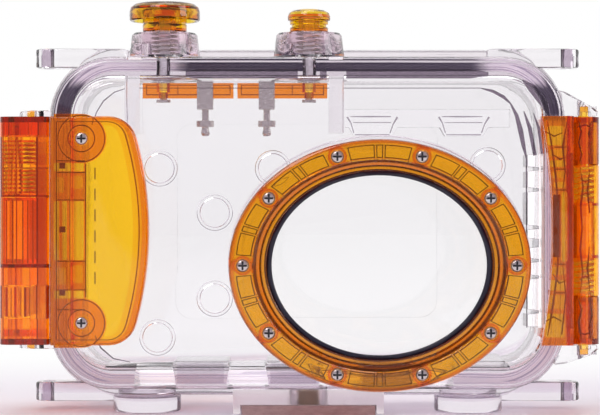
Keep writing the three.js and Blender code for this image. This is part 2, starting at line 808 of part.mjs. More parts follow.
// Sleeve that slides along the bar, with a thick foot for the adjustable tip
function finger(x) {
  const innerHalf = barDepth / 2 + seatGap;
  const outerHalf = innerHalf + fingerWall;
  return joined([block(x - fingerWidth / 2, x + fingerWidth / 2, -outerHalf, outerHalf,
    fingerBottomZ, fingerTopZ)], [
    block(x - fingerWidth, x + fingerWidth, -innerHalf, innerHalf, barBottomZ - seatGap, barTopZ + seatGap),
    post(x, 0, tipShankRadius + seatGap, fingerBottomZ - overrun, barBottomZ),
  ]);
}

function fingerTip(x) {
  const topZ = fingerBottomZ + tipTopInset;
  const flangeTopZ = topZ - tipShankLength;
  const flangeBottomZ = flangeTopZ - tipFlangeHeight;
  const endZ = flangeBottomZ - tipEndLength;
  const geometry = turned([[0, endZ], [tipPointRadius, endZ], [tipEndRadius, endZ + tipEndRadius / 2],
    [tipShankRadius, flangeBottomZ - tipShankRadius / 2], [tipShankRadius, flangeBottomZ],
    [tipFlangeRadius, flangeBottomZ], [tipFlangeRadius, flangeTopZ], [tipShankRadius, flangeTopZ],
    [tipShankRadius, topZ], [0, topZ]], smallSteps);
  geometry.translate(x, 0, 0);
  return geometry;
}

function ringBody(innerRadius, outerRadius, bottomZ, topZ) {
  return turned([[innerRadius, bottomZ], [outerRadius, bottomZ], [outerRadius, topZ],
    [innerRadius, topZ], [innerRadius, bottomZ]], smallSteps);
}

// All that belongs to one button, in a group on the button's axis
function button(name, x, capGeometry, reachLeft, reachRight, fingerOffset) {
  const capInnerZ = capBottomZ + capSocketDepth - seatGap;
  const sealBottomZ = sealFloorZ + seatGap;
  const clipBottomZ = barTopZ + seatGap;
  const group = new THREE.Group();
  group.add(
    part(`${name}_cap`, capGeometry, amberPlastic),
    part(`${name}_shaft`, post(0, 0, shaftRadius, shaftBottomZ, capInnerZ), brightSteel),
    coil(`${name}_spring`, buttonSpringRadius, springFloorZ + seatGap, capBottomZ - seatGap,
      buttonSpringCurls, buttonSpringWire),
    part(`${name}_seal`, ringBody(shaftHoleRadius, shaftSealRadius, sealBottomZ,
      sealBottomZ + shaftSealHeight), blackRubber),
    part(`${name}_clip`, ringBody(shaftHoleRadius, clipRadius, clipBottomZ,
      clipBottomZ + clipThickness), brightSteel),
    part(`${name}_bar`, bar(-reachLeft, reachRight), amberPlastic),
    part(`${name}_bar_screw`, barScrew(), brightSteel),
    part(`${name}_finger`, finger(fingerOffset), brightSteel),
    part(`${name}_tip`, fingerTip(fingerOffset), brightSteel),
  );
  group.position.set(x, buttonY, 0);
  return group;
}

// Comb of tapered teeth on a base strip; the teeth point up
function comb(length, { base, rise, taper, toothShares }, depth) {
  const points = [[0, 0], [length, 0]];
  for (const [start, end] of [...toothShares].reverse()) {
    points.push([end * length, base], [end * length - taper, base + rise],
      [start * length + taper, base + rise], [start * length, base]);
  }
  points.push([0, base]);
  if (toothShares.at(-1)[1] < 1) points.splice(2, 0, [length, base]);
  if (toothShares[0][0] === 0) points.pop();
  return alongDepth(polygon(points), frontInnerY + seatGap, frontInnerY + seatGap + depth);
}

function cameraTray() {
  const geometry = comb(trayLength, trayComb, trayDepth);
  geometry.translate(cavityLeftX + trayInset, 0, cavityBottomZ + seatGap);
  return geometry;
}

// Pockets in the floor between the teeth of the tray, wider at the bottom
function floorPockets() {
  const bottomZ = cavityBottomZ - floorPocketDepth;
  const gapShare = trayComb.toothShares[1][0] - trayComb.toothShares[0][1];
  return trayComb.toothShares.map(([startShare]) => {
    const rightX = cavityLeftX + trayInset + trayLength * startShare;
    const leftX = rightX - trayLength * gapShare;
    return alongDepth(polygon([[leftX - floorPocketFlare, bottomZ], [rightX + floorPocketFlare, bottomZ],
      [rightX, cavityBottomZ + overrun], [leftX, cavityBottomZ + overrun]]),
    frontInnerY, frontInnerY + trayDepth);
  });
}

function sideRack() {
  const geometry = comb(sideRackLength, sideComb, sideRackDepth);
  geometry.rotateY(-Math.PI / 2);
  geometry.translate(cavityRightX - seatGap, 0, cavityBottomZ + sideRackInset);
  return geometry;
}

function topRack() {
  const leftX = powerX + barReachPast + guideRibWidth;
  const rightX = cavityRightX - topRackInset;
  const geometry = comb(rightX - leftX, topComb, topRackDepth);
  geometry.scale(1, 1, -1);
  geometry.translate(leftX, 0, cavityTopZ - topRackDrop);
  return geometry;
}

function tripodPlate() {
  const sideX = tripodWidth / 2 - tripodWall - seatGap;
  const plate = block(tripodX - sideX, tripodX + sideX, tripodY - tripodDepth / 2,
    tripodY + tripodDepth / 2 - tripodWall - seatGap, 0, plateThickness);
  return joined([plate], [post(tripodX, tripodY, insertRadius + seatGap, -overrun,
    plateThickness + overrun, turnedSteps)]);
}

function tripodInsert() {
  const geometry = ringBody(insertBoreRadius, insertRadius, 0, insertHeight);
  geometry.translate(tripodX, tripodY, 0);
  return geometry;
}

function coverFrontY() {
  return frontFaceY - seatGap - coverThickness;
}

function coverScrewPlaces() {
  const x = shellLeftX + seatGap + coverScrewInset;
  return [[x, hingeTopZ - coverScrewMargin], [x, hingeBottomZ + coverScrewMargin]];
}

// Outline of the hinge cover: straight beside the barrel, bulging towards the middle of the case
function coverOutline(inset) {
  const leftX = shellLeftX + seatGap + inset;
  const topZ = hingeTopZ - inset;
  const bottomZ = hingeBottomZ + inset;
  const middleZ = (topZ + bottomZ) / 2;
  const endX = shellLeftX + coverEndWidth - inset;
  const leanX = endX + coverEndLean;
  const bulgeX = 2 * (shellLeftX + coverWidth - inset) - leanX;
  const shape = new THREE.Shape();
  shape.moveTo(leftX, bottomZ);
  shape.lineTo(endX - coverCornerRadius, bottomZ);
  shape.quadraticCurveTo(endX, bottomZ, leanX, bottomZ + coverCornerRadius);
  shape.quadraticCurveTo(bulgeX, middleZ, leanX, topZ - coverCornerRadius);
  shape.quadraticCurveTo(endX, topZ, endX - coverCornerRadius, topZ);
  shape.lineTo(leftX, topZ);
  return shape;
}

// Moulded cover plate: hollow behind, with a boss round each screw
function hingeCover() {
  const backY = frontFaceY - seatGap;
  const frontY = coverFrontY();
  const skin = alongDepth(coverOutline(0), frontY, backY, coverEdgeRound);
  const pocket = alongDepth(coverOutline(coverPocketMargin), frontY + coverSkin, backY + overrun);
  const bosses = coverScrewPlaces().map(([x, z]) => holeAlongY(x, z, coverBossRadius,
    frontY + coverSkin / 2, backY));
  const holes = coverScrewPlaces().flatMap(([x, z]) => [
    holeAlongY(x, z, screwHeadRadius + seatGap, frontY - overrun,
      frontY + screwHeadSink + screwHeadHeight + seatGap),
    holeAlongY(x, z, screwShankRadius + seatGap, frontY - overrun, backY + overrun),
  ]);
  return joined([joined([skin], [pocket]), ...bosses], holes);
}

// Upright outline of the hinge barrel, seen from above
function barrelOutline() {
  const leftX = hingeX - hingeRadius;
  const shape = new THREE.Shape();
  shape.moveTo(barrelInnerX, barrelFrontY);
  shape.lineTo(barrelInnerX, barrelBackY);
  shape.lineTo(hingeX + hingeRadius, barrelBackY);
  shape.lineTo(hingeX + hingeRadius, partingY);
  shape.absarc(hingeX, partingY, hingeRadius, 0, Math.PI);
  shape.lineTo(leftX, barrelFrontY + hingeFrontRound);
  shape.quadraticCurveTo(leftX, barrelFrontY, leftX + hingeFrontRound, barrelFrontY);
  return shape;
}

function hingeBarrel() {
  const clearance = hingeRadius + seatGap;
  return joined([upright(barrelOutline(), hingeBottomZ, hingeTopZ, seatGap)], [
    block(hingeX - hingeRadius - overrun, hingeX + hingeRadius + overrun, barrelBackY,
      partingY + hingeRadius + overrun, leafBottomZ - seatGap, leafTopZ + seatGap),
    post(hingeX, partingY, clearance, leafBottomZ - seatGap, leafTopZ + seatGap, turnedSteps),
    post(hingeX, partingY, pinRadius + seatGap, hingeBottomZ - overrun, hingeTopZ + overrun),
    post(hingeX, partingY, hingeSpringPocketRadius, leafTopZ - overrun,
      leafTopZ + hingeSpringPocketDepth, turnedSteps),
  ]);
}

// Leaf on the rear cover: middle knuckle, an arm round the rim and a plate on the side wall
function hingeLeaf() {
  const armFrontY = rearRimBackY + seatGap;
  const plateLeftX = barrelInnerX - leafPlateThickness;
  return joined([
    post(hingeX, partingY, hingeRadius, leafBottomZ, leafTopZ, turnedSteps),
    block(hingeX, hingeX + hingeRadius, partingY, armFrontY + leafArmThickness, leafBottomZ, leafTopZ),
    block(hingeX, barrelInnerX, armFrontY, armFrontY + leafArmThickness, leafBottomZ, leafTopZ),
    block(plateLeftX, barrelInnerX, armFrontY, armFrontY + leafPlateDepth,
      leafBottomZ - leafPlateOverhang, leafTopZ + leafPlateOverhang),
  ], [post(hingeX, partingY, pinRadius + seatGap, leafBottomZ - overrun, leafTopZ + overrun)]);
}

function pin(x, y) {
  return post(x, y, pinRadius, hingeBottomZ - seatGap - lugThickness, hingeTopZ + seatGap + lugThickness);
}

function hingeSprings() {
  const spacing = (hingeSpringPocketDepth - seatGap * 3) / 2;
  return ['lower', 'upper'].map((place, i) => {
    const bottomZ = leafTopZ + seatGap * 3 + i * spacing;
    const topZ = bottomZ + spacing * hingeSpringLengthShare;
    const spring = coil(`hinge_spring_${place}`, hingeSpringRadius, bottomZ, topZ,
      hingeSpringCurls, hingeSpringWire);
    spring.position.set(hingeX, partingY, 0);
    return spring;
  });
}

// Front plate of the latch: waisted towards the port, with the middle knuckle on its side strip.
// The knuckle runs on past the strip's arm at both ends as a sleeve round each spring.
function latchPlate() {
  const rightX = latchStripRightX;
  const leftX = rightX - latchPlateWidth;
  const backY = frontFaceY - seatGap;
  const frontY = backY - latchPlateThickness;
  const middleZ = (hingeBottomZ + hingeTopZ) / 2;
  const shape = new THREE.Shape();
  shape.moveTo(rightX, hingeBottomZ);
  shape.lineTo(rightX, hingeTopZ);
  shape.lineTo(leftX, hingeTopZ);
  shape.quadraticCurveTo(leftX + 2 * latchPlateWaist, middleZ, leftX, hingeBottomZ);
  const knuckleBottomZ = middleZ - latchMiddleHeight / 2;
  const knuckleTopZ = middleZ + latchMiddleHeight / 2;
  const plate = joined([
    alongDepth(shape, frontY, backY, coverEdgeRound / 2),
    block(latchStripLeftX, rightX, backY - latchPlateThickness / 2, backY + latchSideDepth,
      hingeBottomZ, hingeTopZ),
  ], [post(latchX, latchPinY, latchRadius + seatGap, hingeBottomZ - overrun, hingeTopZ + overrun,
    turnedSteps)]);
  return joined([
    plate,
    post(latchX, latchPinY, latchRadius, hingeBottomZ + latchKnuckleHeight + seatGap,
      hingeTopZ - latchKnuckleHeight - seatGap, turnedSteps),
    block(latchStripLeftX, latchX, latchPinY, latchPinY + latchRadius, knuckleBottomZ, knuckleTopZ),
  ], [
    post(latchX, latchPinY, pinRadius + seatGap, hingeBottomZ - overrun, hingeTopZ + overrun),
    post(latchX, latchPinY, latchSleeveRadius, hingeBottomZ, knuckleBottomZ, turnedSteps),
    post(latchX, latchPinY, latchSleeveRadius, knuckleTopZ, hingeTopZ, turnedSteps),
  ]);
}

// Lever outline from above: knuckle in front, relief for the rims, rounded finger end behind
function leverOutline() {
  const rightX = leverOuterX;
  const shape = new THREE.Shape();
  shape.moveTo(leverInnerX, rimFrontY - seatGap);
  shape.lineTo(leverInnerX, latchPinY);
  shape.absarc(latchX, latchPinY, latchRadius, Math.PI, 2 * Math.PI);
  shape.lineTo(rightX, latchLeverBackY - latchBackRound);
  shape.quadraticCurveTo(rightX, latchLeverBackY, rightX - latchBackRound, latchLeverBackY);
  shape.lineTo(leverReliefX, latchLeverBackY);
  shape.lineTo(leverReliefX, rimFrontY - seatGap);
  return shape;
}

function latchLever() {
  const middleBottomZ = hingeBottomZ + latchKnuckleHeight;
  const middleTopZ = hingeTopZ - latchKnuckleHeight;
  return joined([upright(leverOutline(), hingeBottomZ, hingeTopZ, seatGap)], [
    post(latchX, latchPinY, latchRadius + seatGap, middleBottomZ, middleTopZ, turnedSteps),
    block(leverInnerX - overrun, leverOuterX + overrun, latchPinY - latchRadius - overrun,
      latchPinY, middleBottomZ, middleTopZ),
    block(leverInnerX - overrun, latchX, latchPinY, latchPinY + latchRadius + seatGap,
      middleBottomZ, middleTopZ),
    post(latchX, latchPinY, pinRadius + seatGap, hingeBottomZ - overrun, hingeTopZ + overrun),
  ]);
}

function latchSprings() {
  const middleZ = (hingeBottomZ + hingeTopZ) / 2;
  const lowerBottomZ = hingeBottomZ + latchKnuckleHeight + seatGap;
  const lowerTopZ = middleZ - latchMiddleHeight / 2 - seatGap;
  const spans = {
    lower: [lowerBottomZ, lowerTopZ],
    upper: [2 * middleZ - lowerTopZ, 2 * middleZ - lowerBottomZ],
  };
  return Object.entries(spans).map(([place, [bottomZ, topZ]]) => {
    const spring = coil(`latch_spring_${place}`, latchSpringRadius, bottomZ, topZ, latchSpringCurls,
      latchSpringWire);
    spring.position.set(latchX, latchPinY, 0);
    return spring;
  });
}

const housing = new THREE.Group();
housing.name = 'underwater_camera_housing';

// Case, seal and camera racks
housing.add(
  part('front_case', frontCase(), clearPlastic),
  part('rear_cover', rearCover(), clearPlastic),
  part('main_seal', mainSeal(), blackRubber),
  part('camera_tray', cameraTray(), clearPlastic),
  part('side_rack', sideRack(), clearPlastic),
  part('top_rack', topRack(), clearPlastic),
);

// Port
housing.add(
  part('port_glass', portGlass(), portGlassFinish),
  part('port_gasket', portGasket(), blackRubber),
  part('port_ring', portRing(), amberPlastic),
  ...portScrews(),
);

// Buttons
housing.add(
  button('shutter', shutterX, shutterCap(), barReachPast, shutterBarReach, shutterFingerOffset),
  button('power', powerX, powerCap(), powerBarReach, barReachPast - seatGap * 2, powerFingerOffset),
);

// Tripod socket
housing.add(
  part('tripod_plate', tripodPlate(), plateMetal),
  part('tripod_insert', tripodInsert(), brass),
);

// Hinge
const coverScrews = coverScrewPlaces().map(([x, z], i) => screwAt(
  `hinge_cover_screw_${['upper', 'lower'][i]}`, x, coverFrontY() + screwHeadSink, z, coverScrewLength));
housing.add(
  part('hinge_cover', hingeCover(), amberPlastic),
  ...coverScrews,
  part('hinge_barrel', hingeBarrel(), amberPlastic),
  part('hinge_leaf', hingeLeaf(), amberPlastic),
  part('hinge_pin', pin(hingeX, partingY), amberPlastic),
  ...hingeSprings(),
);

// Latch
housing.add(
  part('latch_plate', latchPlate(), amberPlastic),
  part('latch_lever', latchLever(), amberPlastic),
  part('latch_pin', pin(latchX, latchPinY), amberPlastic),
  ...latchSprings(),
);

export default housing;
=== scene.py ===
from math import atan2, cos, hypot, pi, radians, sin, sqrt
import bmesh
import bpy
from mathutils import Matrix, Vector


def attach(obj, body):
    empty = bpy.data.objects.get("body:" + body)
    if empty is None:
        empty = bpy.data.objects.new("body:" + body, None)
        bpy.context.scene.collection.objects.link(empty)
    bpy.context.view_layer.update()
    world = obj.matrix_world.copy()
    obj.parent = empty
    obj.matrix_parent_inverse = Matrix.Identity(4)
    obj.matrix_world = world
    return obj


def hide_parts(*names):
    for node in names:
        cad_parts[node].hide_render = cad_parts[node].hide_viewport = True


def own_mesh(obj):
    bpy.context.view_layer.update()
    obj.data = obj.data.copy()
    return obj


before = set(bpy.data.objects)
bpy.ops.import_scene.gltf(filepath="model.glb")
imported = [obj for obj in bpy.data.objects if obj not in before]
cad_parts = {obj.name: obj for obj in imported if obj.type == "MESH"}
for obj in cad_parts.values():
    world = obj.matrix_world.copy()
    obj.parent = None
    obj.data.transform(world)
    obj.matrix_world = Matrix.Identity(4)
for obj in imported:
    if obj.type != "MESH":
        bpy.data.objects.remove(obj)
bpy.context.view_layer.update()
print("frame loaded")

# Sizes below are in millimetres; finishPiece turns each mesh into metres.
scene = bpy.context.scene
scene.view_settings.view_transform = "Standard"
mm = 0.001


# camera

shot = {"distance": 600, "height": 56.5, "frameWidth": 165.84, "sensor": 36, "nearest": 0.05}


def addCamera():
    data = bpy.data.cameras.new("camera")
    data.sensor_width = shot["sensor"]
    data.lens = shot["sensor"] * shot["distance"] / shot["frameWidth"]
    data.clip_start = shot["nearest"]
    camera = bpy.data.objects.new("camera", data)
    camera.location = (0, -shot["distance"] * mm, shot["height"] * mm)
    camera.rotation_euler = (pi / 2, 0, 0)
    scene.collection.objects.link(camera)
    scene.camera = camera


addCamera()
print("camera set")


# shader helpers

# Gives inputs of a node their values, or the sockets that feed them
def feed(tree, node, inputs):
    for key, value in inputs.items():
        if isinstance(value, bpy.types.NodeSocket):
            tree.links.new(value, node.inputs[key])
        else:
            node.inputs[key].default_value = value


def addNode(tree, kind, inputs=None, **values):
    node = tree.nodes.new(kind)
    for key, value in values.items():
        setattr(node, key, value)
    feed(tree, node, inputs or {})
    return node


def compute(tree, operation, *values):
    return addNode(tree, "ShaderNodeMath", dict(enumerate(values)), operation=operation).outputs[0]


def places(tree, kind="Object"):
    return addNode(tree, "ShaderNodeTexCoord").outputs[kind]


def split(tree, vector):
    return addNode(tree, "ShaderNodeSeparateXYZ", {"Vector": vector}).outputs


def smoothStep(tree, value, low, high):
    return addNode(tree, "ShaderNodeMapRange", {"Value": value, "From Min": low, "From Max": high},
                   interpolation_type="SMOOTHSTEP").outputs["Result"]


def mixShaders(tree, factor, first, second):
    return addNode(tree, "ShaderNodeMixShader", {"Fac": factor, 1: first, 2: second}).outputs["Shader"]


# 1 for the camera's rays, also where mirrors and clear plastic pass them on
def cameraRays(tree):
    path = addNode(tree, "ShaderNodeLightPath").outputs
    seen = compute(tree, "MAXIMUM", path["Is Camera Ray"], path["Is Glossy Ray"])
    return compute(tree, "MAXIMUM", seen, path["Is Transmission Ray"])


def startMaterial(name):
    material = bpy.data.materials.new(name)
    material.use_nodes = True
    tree = material.node_tree
    tree.nodes.clear()
    output = addNode(tree, "ShaderNodeOutputMaterial")
    shader = addNode(tree, "ShaderNodeBsdfPrincipled")
    feed(tree, output, {"Surface": shader.outputs["BSDF"]})
    return material, tree, shader, output


# Soft waves of moulded plastic, with fine handling scratches that also change the roughness
def mouldedGroup():
    group = bpy.data.node_groups.new("mouldedSurface", "ShaderNodeTree")
    for name, value in (("Wave Scale", 60), ("Scratch Scale", 900), ("Roughness", 0.03), ("Wear", 0.05)):
        group.interface.new_socket(name=name, in_out="INPUT", socket_type="NodeSocketFloat").default_value = value
    for name in ("Height", "Surface Roughness"):
        group.interface.new_socket(name=name, in_out="OUTPUT", socket_type="NodeSocketFloat")
    given = addNode(group, "NodeGroupInput").outputs
    wave = addNode(group, "ShaderNodeTexNoise",
                   {"Vector": places(group), "Scale": given["Wave Scale"], "Detail": 1.5, "Roughness": 0.4})
    drawn = addNode(group, "ShaderNodeMapping", {"Vector": places(group), "Scale": (1, 1, 0.12)})
    scratch = addNode(group, "ShaderNodeTexNoise", {"Vector": drawn.outputs["Vector"], "Scale": given["Scratch Scale"],
                                                    "Detail": 3, "Roughness": 0.7, "Distortion": 1.5})
    mask = addNode(group, "ShaderNodeMapRange", {"Value": scratch.outputs["Fac"], "From Min": 0.58, "From Max": 0.75})
    scratched = mask.outputs["Result"]
    addNode(group, "NodeGroupOutput", {
        "Height": compute(group, "MULTIPLY_ADD", scratched, 0.12, wave.outputs["Fac"]),
        "Surface Roughness": compute(group, "MULTIPLY_ADD", scratched, given["Wear"], given["Roughness"])})
    return group


moulded = mouldedGroup()
waveHeight = 0.0002


def addMoulded(tree, shader, look):
    surface = addNode(tree, "ShaderNodeGroup", {"Wave Scale": look["wave"], "Roughness": look["roughness"],
                                                "Wear": look["wear"]}, node_tree=moulded).outputs
    bump = addNode(tree, "ShaderNodeBump", {"Height": surface["Height"], "Strength": look["bump"],
                                            "Distance": waveHeight})
    feed(tree, shader, {"Normal": bump.outputs["Normal"], "Roughness": surface["Surface Roughness"]})


# Painted bands of light and shade at distances from the middle of the port, in millimetres
def addBands(tree, shader, look):
    x, z, squeeze = look["centre"]
    low, high = look["span"]
    centred = addNode(tree, "ShaderNodeMapping", {"Vector": places(tree), "Scale": (1, 0, 1 / squeeze),
                                                  "Location": (-x * mm, 0, -z * mm / squeeze)})
    away = addNode(tree, "ShaderNodeVectorMath", {0: centred.outputs["Vector"]}, operation="LENGTH")
    share = addNode(tree, "ShaderNodeMapRange", {"Value": away.outputs["Value"], "From Min": low * mm,
                                                 "From Max": high * mm})
    ramp = addNode(tree, "ShaderNodeValToRGB", {"Fac": share.outputs["Result"]})
    stops = ramp.color_ramp.elements
    for i, (radius, colour) in enumerate(look["bands"]):
        stop = stops[i] if i < 2 else stops.new(1)
        stop.position = (radius - low) / (high - low)
        stop.color = (*colour, 1)
    feed(tree, shader, {"Base Color": ramp.outputs["Color"]})


# Lamps reach what is behind a clear material through a tinted Transparent shader
def clearMaterial(name, look):
    material, tree, shader, output = startMaterial(name)
    feed(tree, shader, {"Base Color": (*look["tint"], 1), "IOR": look["ior"], "Transmission Weight": 1,
                        "Specular IOR Level": look["specular"], "Emission Color": (*look["glowColour"], 1),
                        "Emission Strength": look["glow"]})
    addMoulded(tree, shader, look)
    if "bands" in look:
        addBands(tree, shader, look)
    lampRay = addNode(tree, "ShaderNodeLightPath").outputs["Is Shadow Ray"]
    passing = addNode(tree, "ShaderNodeBsdfTransparent", {"Color": (*look["shadow"], 1)})
    feed(tree, output, {"Surface": mixShaders(tree, lampRay, shader.outputs["BSDF"], passing.outputs["BSDF"])})
    if look["density"]:
        inside = addNode(tree, "ShaderNodeVolumeAbsorption", {"Color": (*look["inside"], 1),
                                                              "Density": look["density"]})
        feed(tree, output, {"Volume": inside.outputs["Volume"]})
    return material


# glow stands for the light that scatters inside the plastic
clearLook = {
    "tint": (0.997, 0.996, 1), "ior": 1.58, "wave": 55, "roughness": 0.015, "wear": 0.05, "bump": 0.12,
    "shadow": (0.93, 0.92, 0.95), "glow": 0, "glowColour": (1, 1, 1), "inside": (0.62, 0.48, 0.6), "density": 15,
    "specular": 0.5,
}
rackLook = {**clearLook, "ior": 1.49, "wave": 70, "roughness": 0.03, "density": 7}
amberLook = {
    "tint": (1, 0.98, 0.92), "ior": 1.5, "wave": 90, "roughness": 0.02, "wear": 0.06, "bump": 0.15,
    "shadow": (1, 0.7, 0.2), "glow": 0.055, "glowColour": (1, 0.2, 0.005), "inside": (0.986, 0.905, 0),
    "density": 3150, "specular": 0.35,
}
# Painted light and shade on the port ring: dark lines at its steps, paler and deeper bands between them
ringLightAndShadeBands = (
    (29.3, (0.1, 0.03, 0.02)), (30, (0.22, 0.07, 0.03)), (30.15, (0.85, 0.5, 0.25)), (30.75, (0.85, 0.5, 0.25)),
    (30.9, (0.1, 0.03, 0.02)), (31.25, (0.1, 0.03, 0.02)), (31.4, (1, 0.86, 0.6)), (32.1, (1, 0.8, 0.5)),
    (32.25, (0.07, 0.02, 0.01)), (32.8, (0.07, 0.02, 0.01)), (33, (1, 0.98, 0.92)), (37.7, (1, 0.98, 0.92)),
    (38, (0.95, 0.6, 0.3)), (39.1, (0.8, 0.3, 0.1)),
)
looks = {
    "clearPlastic": clearLook,
    # Painted shade: the next four tint the rim front, bosses, feet and strap holes of the clear case darker
    "rimShadePlastic": {**clearLook, "tint": (0.95, 0.86, 0.91), "density": 0},
    "bossShadePlastic": {**clearLook, "tint": (0.8, 0.68, 0.74), "wave": 150, "bump": 0.7, "density": 0},
    "footShadePlastic": {**clearLook, "tint": (0.74, 0.65, 0.74), "density": 0},
    "holeShadePlastic": {**clearLook, "tint": (0.6, 0.5, 0.6), "density": 0},
    # Painted shade on the floors of cuts inside the case wall: a pale one and a dark one
    "paleShadePlastic": {**clearLook, "tint": (0.72, 0.65, 0.73)},
    "shadePlastic": {**clearLook, "tint": (0.12, 0.09, 0.13)},
    # A painted glow for the backs of the floor pockets and the side rack's front
    "litPlastic": {**clearLook, "glow": 0.3, "glowColour": (1, 0.98, 1), "density": 0},
    "frostedPlastic": {**clearLook, "tint": (0.76, 0.62, 0.67), "wave": 300, "roughness": 0.3, "bump": 0.4,
        "density": 0},
    "rackPlastic": rackLook,
    # Painted shade for the racks' sides and groove floors, and a painted glow for the top rack's front
    "rackEdgeShade": {**rackLook, "tint": (0.3, 0.26, 0.32)},
    "rackFrontGlow": {**rackLook, "glow": 0.07, "glowColour": (1, 0.98, 1), "density": 0},
    "amber": amberLook,
    "ringAmber": {**amberLook, "glow": 0.025, "glowColour": (1, 0.3, 0.01), "density": 3500, "bands": ringLightAndShadeBands,
        "centre": (20.7, 41.4, 0.836), "span": (28, 40)},
    "capAmber": {**amberLook, "tint": (0.9, 0.84, 0.7), "glow": 0.01, "density": 1800},
    # latchAmber has more painted glow, painted light; leverAmber is tinted darker, painted shade
    "latchAmber": {**amberLook, "wave": 170, "bump": 1, "glow": 0.07},
    "leverAmber": {**amberLook, "tint": (0.87, 0.68, 0.52), "wave": 170, "bump": 1, "glow": 0.035, "density": 3800},
    # Painted shade for the floors of lines, strips and squares engraved in amber parts; the deep one adds a red painted
    # glow
    "shadeLineAmber": {**amberLook, "tint": (0.42, 0.13, 0.04), "glow": 0.01},
    "deepShadeAmber": {**amberLook, "tint": (0.16, 0.006, 0.002), "glow": 0.06, "glowColour": (1, 0.06, 0)},
    "portGlass": {**clearLook, "tint": (0.995, 0.995, 0.995), "ior": 1.5, "wave": 20, "roughness": 0, "wear": 0.02,
        "bump": 0.02, "shadow": (0.97, 0.97, 0.97), "density": 0},
}
materials = {name: clearMaterial(name, look) for name, look in looks.items()}
grainHeight = 0.00005


def metalMaterial(name, look):
    material, tree, shader, output = startMaterial(name)
    grain = addNode(tree, "ShaderNodeMapping", {"Vector": places(tree), "Scale": look["grain"]})
    noise = addNode(tree, "ShaderNodeTexNoise", {"Vector": grain.outputs["Vector"], "Scale": look["scale"],
                                                 "Detail": 4, "Roughness": 0.65}).outputs["Fac"]
    tone = addNode(tree, "ShaderNodeValToRGB", {"Fac": noise})
    for stop, position, shade in zip(tone.color_ramp.elements, (0.3, 0.7), ("dark", "pale")):
        stop.position = position
        stop.color = (*look[shade], 1)
    smooth, dull = look["roughness"]
    rough = addNode(tree, "ShaderNodeMapRange", {"Value": noise, "To Min": smooth, "To Max": dull})
    bump = addNode(tree, "ShaderNodeBump", {"Height": noise, "Strength": look["bump"], "Distance": grainHeight})
    feed(tree, shader, {"Metallic": look["metallic"], "Base Color": tone.outputs["Color"],
                        "Roughness": rough.outputs["Result"], "Normal": bump.outputs["Normal"]})
    # A look with a backlight gets a painted glow
    if "backlight" in look:
        feed(tree, shader, {"Emission Color": tone.outputs["Color"], "Emission Strength": look["backlight"]})
    return material


metalLooks = {
    "brightSteel": {"metallic": 1, "dark": (0.46, 0.42, 0.41), "pale": (0.7, 0.65, 0.63), "grain": (1, 1, 6),
        "scale": 700, "roughness": (0.16, 0.34), "bump": 0.25, "backlight": 0.12},
    # Painted shade for the slots in the screw heads
    "slotShadeSteel": {"metallic": 0.6, "dark": (0.05, 0.045, 0.05), "pale": (0.14, 0.13, 0.14), "grain": (1, 1, 1),
        "scale": 900, "roughness": (0.45, 0.7), "bump": 0.3},
    "plateMetal": {"metallic": 0.7, "dark": (0.38, 0.25, 0.24), "pale": (0.56, 0.4, 0.38), "grain": (0.3, 1, 1),
        "scale": 900, "roughness": (0.38, 0.6), "bump": 0.4},
    "turnedBrass": {"metallic": 1, "dark": (0.5, 0.36, 0.15), "pale": (0.68, 0.52, 0.26), "grain": (1, 1, 8),
        "scale": 500, "roughness": (0.25, 0.45), "bump": 0.3},
    # sleeveSteel is paler and has more painted glow
    "sleeveSteel": {"metallic": 0.4, "dark": (0.5, 0.45, 0.5), "pale": (0.82, 0.77, 0.82), "grain": (1, 1, 6),
        "scale": 700, "roughness": (0.25, 0.4), "bump": 0.2, "backlight": 0.35},
    "sealRubber": {"metallic": 0, "dark": (0.006, 0.006, 0.02), "pale": (0.016, 0.014, 0.034), "grain": (1, 1, 1),
        "scale": 1200, "roughness": (0.3, 0.5), "bump": 0.2},
}
materials.update({name: metalMaterial(name, look) for name, look in metalLooks.items()})


# Where the door seal shows its dark colour, and the strength of its painted glow elsewhere
pressed = {
    "topX": (-0.032, 0.052), "topZ": (0.09, 0.092), "sideZ": (0.081, 0.0905), "blur": 0.003,
    "dark": (0.045, 0.035, 0.065), "backlight": 0.5,
}


# Rubber seal behind the clear rim: dark where the plastic touches it; elsewhere a pale painted light and a painted
# glow, as if lit through the rim
def doorSealMaterial(name, pale):
    material, tree, shader, output = startMaterial(name)
    noise = addNode(tree, "ShaderNodeTexNoise", {"Vector": places(tree), "Scale": 260, "Detail": 3}).outputs
    shift = addNode(tree, "ShaderNodeVectorMath", {0: noise["Color"], 1: (pressed["blur"],) * 3, 2: places(tree)},
                    operation="MULTIPLY_ADD")
    at = split(tree, shift.outputs["Vector"])
    blur = pressed["blur"]
    left, right = pressed["topX"]
    low, high = pressed["sideZ"]
    across = compute(tree, "MULTIPLY", smoothStep(tree, at["X"], left - blur, left + blur),
                     smoothStep(tree, at["X"], right + blur, right - blur))
    top = compute(tree, "MULTIPLY", across, smoothStep(tree, at["Z"], *pressed["topZ"]))
    side = compute(tree, "MULTIPLY", smoothStep(tree, at["Z"], low, low + blur),
                   smoothStep(tree, at["Z"], high + blur, high))
    tone = addNode(tree, "ShaderNodeMix", {"Factor": compute(tree, "MAXIMUM", top, side), "A": (*pale, 1),
                                           "B": (*pressed["dark"], 1)}, data_type="RGBA").outputs["Result"]
    rough = addNode(tree, "ShaderNodeMapRange", {"Value": noise["Fac"], "To Min": 0.3, "To Max": 0.5})
    feed(tree, shader, {"Base Color": tone, "Emission Color": tone, "Emission Strength": pressed["backlight"],
                        "Roughness": rough.outputs["Result"]})
    return material


materials["doorSeal"] = doorSealMaterial("doorSeal", (0.74, 0.69, 0.735))
# A darker copy for the floors of the seal's grooves: painted shade
materials["sealGroove"] = doorSealMaterial("sealGroove", (0.36, 0.31, 0.39))
print("materials made:", len(materials))


